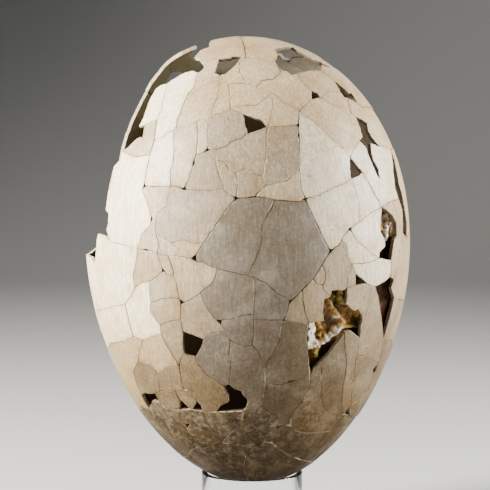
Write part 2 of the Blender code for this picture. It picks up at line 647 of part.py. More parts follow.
def shrink_outline(ring):
    """Move an outline in by half a crack's width, with pointed corners cut short."""
    up = outward(ring)
    before = ring - np.roll(ring, 1, axis=0)
    after = np.roll(ring, -1, axis=0) - ring
    sides = []
    for along in (before, after):
        side = np.cross(up, along)
        sides.append(side / np.linalg.norm(side, axis=1)[:, None])
    middle = sides[0] + sides[1]
    length = np.maximum(np.linalg.norm(middle, axis=1), TINY)
    middle /= length[:, None]
    reach = 0.5 * CRACK_GAP * np.minimum(2.0 / length, LONGEST_CORNER)
    return on_egg(ring + middle * reach[:, None])


def flat_map(centre):
    """Two axes square to a direction, for flattening a plate and for lifting it back."""
    upright = abs(centre[2]) > NEARLY_UPRIGHT
    east = np.cross((0.0, 1.0, 0.0) if upright else (0.0, 0.0, 1.0), centre)
    east /= np.linalg.norm(east)
    return east, np.cross(centre, east)


def inner_grid(ring, spacing):
    """Points of a triangular grid that lie well inside a flat outline."""
    low, high = ring.min(axis=0), ring.max(axis=0)
    rows = np.arange(low[1], high[1], spacing * math.sqrt(0.75))
    grid = np.array([(x + (0.5 * spacing if i % 2 else 0.0), y)
                     for i, y in enumerate(rows) for x in np.arange(low[0], high[0], spacing)])
    start, end = ring, np.roll(ring, -1, axis=0)
    along = end - start
    offset = grid[:, None] - start
    share = np.clip((offset * along).sum(2) / (along * along).sum(1), 0.0, 1.0)
    away = np.linalg.norm(offset - share[..., None] * along, axis=2).min(axis=1)
    above = (start[:, 1] > grid[:, 1:2]) != (end[:, 1] > grid[:, 1:2])
    rise = np.where(along[:, 1] == 0.0, 1.0, along[:, 1])
    crossing = start[:, 0] + (grid[:, 1:2] - start[:, 1]) * along[:, 0] / rise
    odd = (above & (grid[:, :1] < crossing)).sum(axis=1) % 2 == 1
    return grid[odd & (away > 0.5 * spacing)]


def plate_mesh(name, ring):
    """A plate of shell: the patch of the egg inside an outline, extruded inwards to the shell's thickness."""
    centre = ring.mean(axis=0)
    centre /= np.linalg.norm(centre)
    east, north = flat_map(centre)
    depth = ring @ centre
    flat = np.column_stack([ring @ east / depth, ring @ north / depth])
    grid = inner_grid(flat, FACE_STEP / np.linalg.norm(ring.mean(axis=0)))
    everything = np.vstack([flat, grid]) if len(grid) else flat
    outline = list(range(len(flat)))
    cut = delaunay_2d_cdt([Vector(p) for p in everything], [], [outline], KEEP_INSIDE, FLAT_TOLERANCE)
    corners, faces = cut[0], cut[2]
    directions = np.array([centre + c[0] * east + c[1] * north for c in corners])
    bm = bmesh.new()
    verts = [bm.verts.new(p) for p in on_egg(directions)]
    outer = [bm.faces.new([verts[i] for i in face]) for face in faces]
    loose = [v for v in verts if not v.link_faces]
    bmesh.ops.delete(bm, geom=loose, context="VERTS")
    made = bmesh.ops.extrude_face_region(bm, geom=outer, use_keep_orig=True)["geom"]
    inner = [v for v in made if isinstance(v, bmesh.types.BMVert)]
    places = np.array([v.co for v in inner])
    for vert, place in zip(inner, places - SHELL_THICKNESS * outward(places)):
        vert.co = place
    bmesh.ops.recalc_face_normals(bm, faces=bm.faces)
    mesh = bpy.data.meshes.new(name)
    bm.to_mesh(mesh)
    bm.free()
    return mesh


def material(name, colour, roughness, transmission=0.0, ior=1.5):
    """A plain Principled material."""
    made = bpy.data.materials.new(name)
    made.use_nodes = True
    shader = made.node_tree.nodes["Principled BSDF"]
    shader.inputs["Base Color"].default_value = (*colour, 1.0)
    shader.inputs["Roughness"].default_value = roughness
    shader.inputs["Transmission Weight"].default_value = transmission
    shader.inputs["IOR"].default_value = ior
    made.diffuse_color = (*colour, 1.0)
    return made


def add_object(name, mesh, finish, collection, carrier=None):
    """Put a mesh in the collection under its own name, carried by the egg's empty or standing by itself."""
    made = bpy.data.objects.new(name, mesh)
    mesh.materials.append(finish)
    collection.objects.link(made)
    made.parent = carrier
    return made


def place_name(centre):
    """Where a plate sits on the egg, in words."""
    band = next(name for name, low in BANDS if centre[2] > low)
    quarter = math.degrees(math.atan2(centre[0], -centre[1])) + 45.0
    return band, SIDES[int(quarter // 90.0) % 4]


def add_shell(collection, egg):
    """The plates of the shell, each one its own object."""
    lines = OPENING + HOLES + CROWN_CRACKS + UPPER_CRACKS + BELLY_CRACKS + LOWER_CRACKS + BACK_CRACKS
    points, paths = number_points(lines)
    rims = [set(path) for path in paths[:len(OPENING) + len(HOLES)]]
    edges = trim_loose_ends({tuple(sorted(e)) for path in paths for e in zip(path, path[1:])})
    loops = trace_loops(points, edges)
    fragments = [loop for loop in loops if not any(set(loop) <= rim for rim in rims)]
    groups = group_fragments(points, fragments)
    corners, shared = shared_lines(points, groups)
    finishes = {band: material("shell_" + band, colour, SHELL_ROUGHNESS)
                for band, colour in SHELL_COLOURS.items()}
    counts = {}
    for group in sorted(groups, key=lambda g: -points[closed_outline(g["edges"])].mean(axis=0)[2]):
        loop = closed_outline(group["edges"])
        first = next(i for i, a in enumerate(loop) if a in corners)
        loop = loop[first:] + loop[:first]
        ring = []
        for a, b in zip(loop, loop[1:] + loop[:1]):
            if a in corners:
                ring += subdivided(points[shared[(a, b)]])[:-1]
        ring = shrink_outline(np.array(ring))
        band, side = place_name(ring.mean(axis=0))
        counts[band, side] = counts.get((band, side), 0) + 1
        name = f"shell_{band}_{side}_{counts[band, side]}"
        add_object(name, plate_mesh(name, ring), finishes[band], collection, egg)


def add_film(collection, egg):
    """A crumpled sheet behind the holes at the right, just inside the shell."""
    turns = np.radians(np.linspace(*FILM_AZIMUTH, FILM_COLUMNS))
    heights = np.linspace(*FILM_HEIGHT, FILM_ROWS)
    turn, height = [a.ravel() for a in np.meshgrid(turns, heights)]
    radius = egg_radius(height)
    surface = np.column_stack([radius * np.sin(turn), -radius * np.cos(turn), height])
    rising = FOLDS_ROUND * turn + FOLDS_UP * height
    falling = FOLDS_ROUND * turn - FOLDS_UP * height
    fold = np.sin(rising) * np.sin(FOLDS_CROSSING * falling) + np.cos(FOLDS_UPRIGHT * FOLDS_ROUND * turn)
    outer = surface - FILM_DEPTH * outward(surface)
    bm = bmesh.new()
    verts = [bm.verts.new(p) for p in outer]
    cells = [(r * FILM_COLUMNS + c) for r in range(FILM_ROWS - 1) for c in range(FILM_COLUMNS - 1)]
    sheet = [bm.faces.new([verts[i], verts[i + 1], verts[i + FILM_COLUMNS + 1], verts[i + FILM_COLUMNS]])
             for i in cells]
    made = bmesh.ops.extrude_face_region(bm, geom=sheet, use_keep_orig=True)["geom"]
    inner = [v for v in made if isinstance(v, bmesh.types.BMVert)]
    lookup = {tuple(np.round(p, 6)): i for i, p in enumerate(outer)}
    depths = FILM_THICKNESS + FILM_CRUMPLE * (1.0 + fold)
    for vert in inner:
        i = lookup[tuple(np.round(np.array(vert.co), 6))]
        vert.co = Vector(outer[i] - depths[i] * outward(surface[i:i + 1])[0])
    bmesh.ops.triangulate(bm, faces=bm.faces)
    bmesh.ops.recalc_face_normals(bm, faces=bm.faces)
    mesh = bpy.data.meshes.new("lining_film")
    bm.to_mesh(mesh)
    bm.free()
    add_object("lining_film", mesh, material("amber_film", FILM_COLOUR, FILM_ROUGHNESS), collection, egg)


def add_tube(collection, place):
    """The short clear tube that the egg stands in: a turned ring with eased rims."""
    outer, inner = TUBE_OUTER_RADIUS, TUBE_OUTER_RADIUS - TUBE_WALL
    chamfer, top = TUBE_CHAMFER, TUBE_HEIGHT
    section = [(outer - chamfer, top), (outer, top - chamfer), (outer, chamfer), (outer - chamfer, 0.0),
               (inner + chamfer, 0.0), (inner, chamfer), (inner, top - chamfer), (inner + chamfer, top)]
    mesh = bpy.data.meshes.new("stand_tube")
    sides = [(i, (i + 1) % len(section)) for i in range(len(section))]
    mesh.from_pydata([(x, 0.0, z) for x, z in section], sides, [])
    acrylic = material("clear_acrylic", ACRYLIC_COLOUR, ACRYLIC_ROUGHNESS, 1.0, ACRYLIC_IOR)
    tube = add_object("stand_tube", mesh, acrylic, collection)
    tube.location = place
    turned = tube.modifiers.new("turned", "SCREW")
    turned.steps = TUBE_SIDES
    turned.render_steps = TUBE_SIDES
    turned.use_merge_vertices = True
    turned.merge_threshold = TUBE_WELD


def lean_matrix():
    """The egg's turn: its top goes to the left, about the line of sight."""
    sight = (0.0, math.cos(VIEW_ELEVATION), -math.sin(VIEW_ELEVATION))
    return Matrix.Rotation(-EGG_LEAN, 3, sight)


def resting_places():
    """Where the egg's centre and the tube's foot stand, with the egg in the rim and over the origin.

    The egg slides in the rim until its centre is lowest, a little clear of the tube's inner edge.
    """
    lean = np.array(lean_matrix())
    bore = TUBE_OUTER_RADIUS - TUBE_WALL
    turn = np.linspace(0.0, 2.0 * math.pi, RIM_STEPS, endpoint=False)
    rim = np.vstack([np.column_stack([radius * np.cos(turn), radius * np.sin(turn), np.full(RIM_STEPS, z)])
                     for radius, z in ((bore + TUBE_CHAMFER, TUBE_HEIGHT), (bore, TUBE_HEIGHT - TUBE_CHAMFER))])
    lowest = None
    for slide in np.linspace(-SLIDE_REACH, SLIDE_REACH, SLIDE_STEPS):
        low, high = TUBE_HEIGHT, TUBE_HEIGHT + 2.0 * HALF_HEIGHT
        for _ in range(HALVINGS):
            height = 0.5 * (low + high)
            places = (rim - (slide, 0.0, height)) @ lean
            near = on_egg(places)
            clear = ((places - near) * outward(near)).sum(axis=1).min()
            low, high = (height, high) if clear < REST_GAP else (low, height)
        if lowest is None or high < lowest[1]:
            lowest = slide, high
    aside = lean[0, 2] * PROFILE_HEIGHTS
    reach = PROFILE_RADII * math.sqrt(1.0 - lean[0, 2] ** 2)
    middle = 0.5 * ((aside + reach).max() + (aside - reach).min())
    slide, height = lowest
    return (-middle, 0.0, height), (-middle - slide, 0.0, 0.0)


def main():
    """Build the egg and its stand."""
    for old in list(bpy.data.objects):
        bpy.data.objects.remove(old, do_unlink=True)
    collection = bpy.data.collections.new(COLLECTION)
    bpy.context.scene.collection.children.link(collection)
    egg_place, tube_place = resting_places()
    egg = bpy.data.objects.new("egg", None)
    collection.objects.link(egg)
    egg.location = egg_place
    egg.rotation_euler = lean_matrix().to_euler()
    add_tube(collection, tube_place)
    add_shell(collection, egg)
    add_film(collection, egg)


main()
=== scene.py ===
"""Looks of the glued moa egg and its short clear tube.

Every fragment of shell is a plate of its own: the egg's surface over the patch between the cracks, with
worn rims, a broken edge and an inner face. The fragments of one CAD plate share one object. They are worked
out round the upright egg's centre, in metres, and then lean with it.
"""
import math

import bpy
import numpy as np
from mathutils import Matrix, Vector
from mathutils.bvhtree import BVHTree
from mathutils.geometry import delaunay_2d_cdt


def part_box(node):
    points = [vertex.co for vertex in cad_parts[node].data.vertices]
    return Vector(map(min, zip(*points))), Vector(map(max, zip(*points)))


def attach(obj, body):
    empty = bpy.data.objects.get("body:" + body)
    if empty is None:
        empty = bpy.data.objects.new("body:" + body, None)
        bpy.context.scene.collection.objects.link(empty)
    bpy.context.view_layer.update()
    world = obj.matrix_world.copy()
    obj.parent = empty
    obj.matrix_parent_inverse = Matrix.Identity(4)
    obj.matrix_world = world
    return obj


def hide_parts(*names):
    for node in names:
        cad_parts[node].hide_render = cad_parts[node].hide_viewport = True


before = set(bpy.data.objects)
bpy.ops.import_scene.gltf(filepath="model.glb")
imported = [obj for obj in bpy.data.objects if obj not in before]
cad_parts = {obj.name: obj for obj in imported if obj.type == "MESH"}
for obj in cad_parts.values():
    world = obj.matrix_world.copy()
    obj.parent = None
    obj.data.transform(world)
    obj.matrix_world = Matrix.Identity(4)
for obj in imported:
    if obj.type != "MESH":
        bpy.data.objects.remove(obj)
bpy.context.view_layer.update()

# Egg outline: half height, half width, how much blunter the top is, and how full the shoulders are
HALF_HEIGHT = 0.1211
HALF_WIDTH = 0.0871
BLUNTNESS = 0.104
FULLNESS = -0.0139
SHELL_THICKNESS = 0.0018
PROFILE_STEPS = 2001
SLOPE_STEP = 1e-5
TINY = 1e-9
MILLIMETRE = 0.001
IN_MILLIMETRES = 1000.0

# Where the egg's centre stands, and how far the egg leans to the left
EGG_CENTRE = (0.000377, 0.0, 0.15093)
EGG_LEAN = math.radians(1.81)

# Where the photograph was taken from, and its frame in pixels
VIEW_ELEVATION = math.radians(6.0)
SIGHT = (0.0, math.cos(VIEW_ELEVATION), -math.sin(VIEW_ELEVATION))
VIEW_DISTANCE = 1.1
METRES_PER_PIXEL = 0.00054
EGG_CENTRE_PIXEL = (248.18, 261.41)
PHOTO_SIZE = 490
SENSOR_WIDTH = 36.0
SEARCH_REACH = 0.13
SEARCH_STEPS = 2001

# Points closer than this are one point
SNAP = 0.0006

# Flattening of a fragment, and how its outline is kept
NEARLY_UPRIGHT = 0.95
KEEP_INSIDE = 1
FLAT_TOLERANCE = 1e-7

# Noise: how many waves it has, how their lengths differ, and its gain
RIPPLE_WAVES = 5
RIPPLE_GAIN = 1.6
CREASE_WAVES = 6
WAVE_FINENESS = (0.6, 1.5)

# Lines of the cracks: their fineness, how far waves and grain push them, the waves for each metre and their
# starts, and how soon the push grows from the ends
CRACK_STEP = 0.0009
CRACK_BEND = 0.00016
CRACK_GRAIN = 0.00008
CRACK_WAVES = (500.0, 1600.0)
CRACK_STARTS = (0.0, 6.28)
CRACK_GROWTH = 5.0
CRACK_SEED = 11

# Half the gap of the cracks: the narrowest and the widest, the noise between them (share, fineness and seed),
# and how much finer it gets high on the egg, from which height and over how far
CRACK_NARROW = 0.00003
CRACK_WIDE = 0.00021
CRACK_MIDDLE = 0.5
CRACK_NOISE = ((0.4, 120.0, 5), (0.3, 620.0, 6))
CRACK_FINER = 0.7
FINER_FROM = 0.03
FINER_OVER = 0.05

# What gaping cracks and splintered corners add to it
OPEN_EXTRA = 0.00011
OPEN_REACH = 0.0006
OPEN_SPAN = 1.6
OPEN_LEAST = 0.2
JUNCTION_EXTRA = 0.00045
JUNCTION_REACH = 0.0012
LONGEST_CORNER = 2.5

# Fragments: the grid, the rings behind the rim, and how far apart these stay
GRID_STEP = 0.0023
GRID_CLEAR = 0.35
RIM_RINGS = (0.00012, 0.00034, 0.0009)
RING_CLEAR = 0.8

# The rounding of the rims, the unevenness of rims and thickness (share, fineness and seed), how unevenly the
# fragments sit, and where their faces meet in an edge
RIM_ROUND = 0.00026
RIM_UNEVEN = (0.7, 1300.0, 3)
THICKNESS_UNEVEN = (0.06, 200.0, 4)
LEVEL_SPREAD = 0.00024
TILT_SPREAD = 0.008
FRAGMENT_SEED = 100
SHELL_CREASE = 38.0

# How far from a rim its distance is kept, in millimetres, and how far glue and fresh edges are looked for
RIM_REACH = 5.0
NEAR_RIM = 0.003
FRESH_SPAN = 2.0
FRESH_REACH = 0.002

SHELL_NODES = sorted(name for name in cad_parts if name.startswith("shell_"))


def egg_radius(height):
    """Radius of the egg at a height above its centre: an ellipse, swollen towards the top."""
    s = np.clip(np.asarray(height, dtype=float) / HALF_HEIGHT, -1.0, 1.0)
    return HALF_WIDTH * np.sqrt(1.0 - s * s) * (1.0 + BLUNTNESS * s + FULLNESS * s * s)


PROFILE_HEIGHTS = HALF_HEIGHT * np.cos(np.linspace(0.0, math.pi, PROFILE_STEPS))
PROFILE_RADII = egg_radius(PROFILE_HEIGHTS)
PROFILE_SLOPES = np.arctan2(PROFILE_RADII, PROFILE_HEIGHTS)


def on_egg(directions):
    """The points of the egg that lie in these directions from its centre."""
    d = np.atleast_2d(np.asarray(directions, dtype=float))
    across = np.hypot(d[:, 0], d[:, 1])
    height = np.interp(np.arctan2(across, d[:, 2]), PROFILE_SLOPES, PROFILE_HEIGHTS)
    scale = egg_radius(height) / np.maximum(across, TINY)
    return np.column_stack([d[:, 0] * scale, d[:, 1] * scale, height])


def sight_lines(pixels):
    """The eye and the directions of its lines of sight through pixels of the photograph."""
    forward = np.array(SIGHT)
    right = np.array([1.0, 0.0, 0.0])
    up = np.cross(right, forward)
    shift = (np.asarray(pixels, dtype=float) - EGG_CENTRE_PIXEL) * (1.0, -1.0)
    turn = np.array([[math.cos(EGG_LEAN), -math.sin(EGG_LEAN)], [math.sin(EGG_LEAN), math.cos(EGG_LEAN)]])
    u, v = (shift @ turn).T * METRES_PER_PIXEL / VIEW_DISTANCE
    return -VIEW_DISTANCE * forward, forward + u[:, None] * right + v[:, None] * up


def seen(pixels, side):
    """Points of the egg on lines of sight: side 0 is the near wall and side -1 the far wall."""
    eye, directions = sight_lines(pixels)
    steps = np.linspace(VIEW_DISTANCE - SEARCH_REACH, VIEW_DISTANCE + SEARCH_REACH, SEARCH_STEPS)
    points = []
    for direction in directions:
        path = eye + steps[:, None] * direction
        clear = np.hypot(path[:, 0], path[:, 1]) - egg_radius(path[:, 2])
        clear[np.abs(path[:, 2]) >= HALF_HEIGHT] = 1.0
        within = np.flatnonzero(clear < 0.0)
        points.append(path[within[side]] if len(within) else path[np.argmin(clear)])
    return list(on_egg(points))


def front(*pixels):
    """Points of the front of the egg, read in the photograph as (x, y) pixels."""
    return seen(pixels, 0)


def inside(*pixels):
    """Points of the back of the egg that show through its holes, as (x, y) pixels."""
    return seen(pixels, -1)


def round_egg(turn, height):
    """Points of the egg from radians round from the front to the right, and heights above its centre."""
    radius = egg_radius(height)
    return np.column_stack([radius * np.sin(turn), -radius * np.cos(turn), height])


def back(*places):
    """Points of the hidden side: (degrees round from the front to the right, height in mm)."""
    return list(round_egg(np.radians([p[0] for p in places]), np.array([p[1] for p in places]) * MILLIMETRE))


def outward(points):
    """The egg's outward normals at points on it."""
    radius = np.hypot(points[:, 0], points[:, 1])
    low = np.clip(points[:, 2] - SLOPE_STEP, -HALF_HEIGHT, HALF_HEIGHT)
    high = np.clip(points[:, 2] + SLOPE_STEP, -HALF_HEIGHT, HALF_HEIGHT)
    rise, run = high - low, egg_radius(high) - egg_radius(low)
    round_part = points[:, :2] / np.maximum(radius, TINY)[:, None]
    normals = np.column_stack([round_part * rise[:, None], -run])
    pole = radius < SLOPE_STEP
    normals[pole] = np.column_stack([np.zeros((pole.sum(), 2)), np.sign(points[pole, 2])])
    return normals / np.linalg.norm(normals, axis=1)[:, None]


# The edges of the large opening in the left side, from its lower corner round by the top
OPENING = [
    front((110, 242), (106, 230), (107.5, 222), (108, 214), (105, 210), (107, 195), (110, 180),
          (113.5, 166), (120, 159), (121, 151), (127, 148), (131, 144), (137, 138), (140, 136.5),
          (142, 138), (145, 124.5), (138.5, 126.5), (143, 117), (147, 106), (150, 98), (155, 89),
          (160, 85), (167, 83), (171, 80), (177, 76.5), (181, 74), (186, 72), (192, 70), (197, 72),
          (200, 71), (204, 67), (203, 63), (199, 58), (194.5, 57), (200, 50), (209, 46.5), (210, 41))
    + back((262, 119.6), (235, 118), (215, 115), (207, 112)) + inside((194, 57.5), (186, 55), (190, 49))
    + inside((195.5, 42.5), (187, 46), (180, 50), (168, 60), (158, 71), (150, 81), (145, 90),
             (140, 99), (135, 109), (130, 120), (126, 131), (122.5, 142), (120, 152))
    + back((239, 48), (236, 36), (240, 22), (245.3, 7.9), (253, 8), (264, 6.4))
    + front((90, 257), (94, 264), (95.5, 250), (96, 240), (97.5, 233.5), (104, 236), (110, 242)),
]

# The rims of the smaller holes
HOLES = [
    front((219, 58.5), (229, 58), (232, 56.5), (241, 56), (238, 61), (235, 65), (230, 69.5),
          (225, 73.5), (220, 75), (214.5, 72.5), (217, 66), (219, 58.5)),
    front((275, 48), (280, 47), (286, 46), (293, 46.5), (300, 51), (306, 54.5), (313, 59), (321, 61),
          (331, 66.5), (327, 66.5), (322, 64.5), (321.5, 70.5), (306, 70.5), (297, 73), (292, 74),
          (287, 70.5), (283, 70), (278, 66.5), (275.5, 59.5), (278, 54), (275, 48)),
    front((312, 90.5), (318, 93.5), (320.5, 97), (312, 98.5), (312, 90.5)),
    front((334.5, 80.5), (340, 85), (345, 89), (350, 94), (351, 92.5), (357, 101.5), (352, 99.5),
          (349, 97), (345, 97), (341, 91), (334.5, 80.5)),
    front((243.5, 114), (254, 117.5), (263, 120.5), (268, 126.5), (257, 130), (248, 133.5),
          (245, 124), (243.5, 114)),
    front((356, 116.5), (362, 119), (367, 123), (368.5, 131), (372, 137), (378, 145), (371, 143),
          (371.5, 150), (374, 160), (379, 169), (380.5, 180), (376, 172), (370, 158), (366, 147),
          (360, 140.5), (363, 137), (361, 129), (356, 116.5)),
    front((350.5, 157.5), (363, 172.5), (358, 176), (351.5, 178.5), (350, 169), (350.5, 157.5)),
    front((391, 150), (394.8, 160), (397.2, 171.5), (398.3, 176.5), (399.3, 184), (401.8, 191.5),
          (403.5, 199), (405, 207), (406, 214.5), (407.4, 223.5), (407.3, 238), (403, 232),
          (402.5, 209.5), (399, 199), (395.7, 188), (393.8, 172), (393, 161), (391, 150)),
    front((382, 207.5), (388, 211), (393, 216), (396.5, 223), (397, 236), (394.5, 240), (393, 250),
          (391.5, 260.5), (386, 259), (380, 258), (380.5, 252.5), (386, 246), (385.5, 240),
          (381.5, 232), (381, 224), (382, 214), (382, 207.5)),
    front((356, 274), (366.5, 283), (356, 285.5), (356, 274)),
    front((376, 286.5), (385, 282), (391, 276.5), (394, 280), (391.5, 288), (395, 299), (391, 316),
          (387, 330), (384, 341), (383, 326), (381, 310), (379, 298), (376, 286.5)),
    front((324.5, 300), (331, 297), (332, 291), (345, 290.5), (347, 288), (347, 295), (346, 303.5),
          (351, 309), (355, 311.5), (358, 309.5), (361, 314), (363, 319), (361.5, 326),
          (360, 338.5), (356, 335), (351.5, 331), (345, 332), (341, 338.5), (336, 345),
          (329, 354), (322, 361), (314.5, 368.5), (310.5, 377), (309, 360), (307.5, 345),
          (307, 333), (308.5, 324), (324.5, 321), (323.5, 313), (324.5, 300)),
    front((183, 332), (192, 335), (203, 339.5), (201, 347), (195, 358), (188, 356), (184, 353),
          (182.5, 342), (183, 332)),
    front((196, 254), (196, 261.5), (191, 259), (196, 254)),
    front((179.5, 299), (184.5, 302.5), (181, 304.5), (179.5, 299)),
    front((216.5, 320), (222, 320), (221, 325.5), (216.5, 320)),
    front((141, 395.5), (144, 393.5), (155, 394), (159.5, 403), (152, 401), (148.5, 408.5),
          (143.5, 401), (141, 395.5)),
    front((179.5, 400), (190.5, 409.5), (180, 409.5), (179.5, 400)),
    front((196.5, 401), (200.5, 406), (202.5, 411.5), (193, 409.5), (196.5, 401)),
    front((184, 424), (189.5, 424), (187.5, 428), (184, 424)),
    front((224, 386.5), (229, 385), (235, 389.5), (241, 391.5), (243, 396), (247, 399), (247.5, 404),
          (245, 409.5), (243, 411), (217, 411.5), (221, 406), (229, 402.5), (229, 397), (226, 391),
          (224, 386.5)),
    front((343.5, 415), (350, 407), (350.5, 415.5), (343.5, 415)),
    front((378.5, 363), (376, 371), (373, 375), (373.5, 369), (378.5, 363)),
    inside((170, 70), (179, 69), (181, 73), (184, 90), (168, 100), (163, 82), (170, 70)),
    inside((278, 50), (284, 50.5), (292, 51), (294, 54), (290, 59.5), (284, 56), (278, 50)),
    back((135, 57), (146, 53), (139, 43), (135, 57)),
    back((176, -22), (186, -19.5), (178, -35), (176, -22)),
    back((218, -58), (228, -54.5), (225, -69), (218, -58)),
    back((118, 27), (128, 23.8), (121, 13), (118, 27)),
]

# Cracks of the crown and the shoulder
CROWN_CRACKS = [
    back((207, 112), (185, 113), (178, 99)),
    back((185, 113), (190, 119.6)) + front((244, 46), (245.5, 57.5)),
    front((199, 58), (219, 58.5)),
    front((214.5, 72.5), (211, 70), (204, 67)),
    front((241, 56), (245.5, 57.5), (258, 58.5), (275, 65.5), (278, 66.5)),
    front((245.5, 57.5), (240, 62), (240, 72), (246, 81), (250, 85)),
    front((220, 75), (224, 80), (229, 84), (236, 83), (243, 83), (250, 85), (256, 87), (268, 90),
          (278, 97), (284, 103), (291, 105), (299, 111)),
    front((278, 66.5), (280, 71), (273, 79), (262, 80), (256, 87)),
    front((220, 75), (219, 88), (217, 99), (212, 108), (211, 114), (208, 121), (207.5, 135),
          (207.5, 150)),
    front((229, 84), (230, 95), (231, 107.5)),
    front((211, 114), (220, 113), (231, 107.5), (245, 105.5), (256, 105), (264, 100), (272, 93.5)),
    front((243.5, 114), (237, 110.5), (231, 107.5)),
    front((272, 93.5), (273, 108), (271, 117), (268, 126.5)),
    front((268, 126.5), (280, 126.5), (298.5, 125)),
    front((297, 73), (302, 81), (312, 90.5)),
    front((312, 98.5), (305, 104), (299, 111)),
    front((320.5, 97), (328, 101), (334, 105), (343, 107), (352, 113), (356, 116.5)),
    front((321.5, 70.5), (331, 77), (334.5, 80.5)),
    front((357, 101.5), (363, 107)) + back((85, 80)),
    front((378, 145), (385, 147), (391, 150)),
    front((320.5, 97), (330, 90), (341, 91)),
]

# Cracks of the upper front
UPPER_CRACKS = [
    front((299, 111), (298.5, 125), (299, 135), (300, 145), (300, 170), (300.5, 180), (302, 190),
          (305.5, 199)),
    front((299, 111), (305, 116), (315, 122.5), (322, 129), (332, 139), (342, 148), (350.5, 157.5)),
    front((360, 140.5), (354, 149), (350.5, 157.5)),
    front((351.5, 178.5), (345, 183), (338, 186), (330, 189), (320, 195), (305.5, 199)),
    front((363, 172.5), (368, 181), (373, 190), (380, 203), (382, 207.5)),
    front((380.5, 180), (379.5, 192), (380, 203)),
    front((382, 207.5), (390, 202), (399, 199)),
    front((197, 72), (195, 82), (192, 89), (188, 93), (184, 101), (181, 110), (177, 119),
          (176, 127), (173.5, 130)),
    front((173.5, 130), (174, 141), (174, 152), (173, 164), (170, 171), (171, 186)),
    front((171, 186), (176, 186), (184, 189)),
    front((184, 189), (187, 182), (190, 174), (193.5, 163), (196, 154), (198, 138), (197, 121)),
    front((197, 121), (188, 124), (181, 126), (176, 127)),
    front((197, 121), (201, 118.5), (208, 121)),
    front((196, 154), (200, 153.5), (207.5, 150), (217, 149)),
    front((217, 149), (215.5, 160), (217.5, 170), (221, 180), (224, 190)),
    front((217, 149), (225, 146.5), (231, 142), (241, 138), (248, 133.5)),
    front((184, 189), (190, 190), (203, 190.5), (213, 191), (224, 190), (230, 195), (236, 198.5)),
    front((215.5, 160), (225, 162), (229, 170), (236, 173), (244, 169), (252, 173), (263.5, 177)),
    front((268, 126.5), (266.5, 140), (266.5, 150), (264.5, 165), (263.5, 177), (266, 186)),
    front((236, 173), (238, 184), (236, 198.5)),
    front((266, 186), (262, 190), (257, 194.5), (255, 197)),
    front((266, 186), (274, 184.5), (281, 182.5), (288, 180.5), (300, 170)),
    front((167, 83), (166, 91), (163, 98), (161, 110), (157, 119), (155.5, 128), (154, 140),
          (150, 155), (146, 172), (144, 186)),
    front((173.5, 130), (168, 131.5), (163, 136), (154, 140)),
    front((145, 124.5), (150, 122), (157, 119)),
    front((144, 186), (154, 186.5), (163, 186.5), (171, 186)),
    front((121, 151), (134, 157), (150, 155)),
]

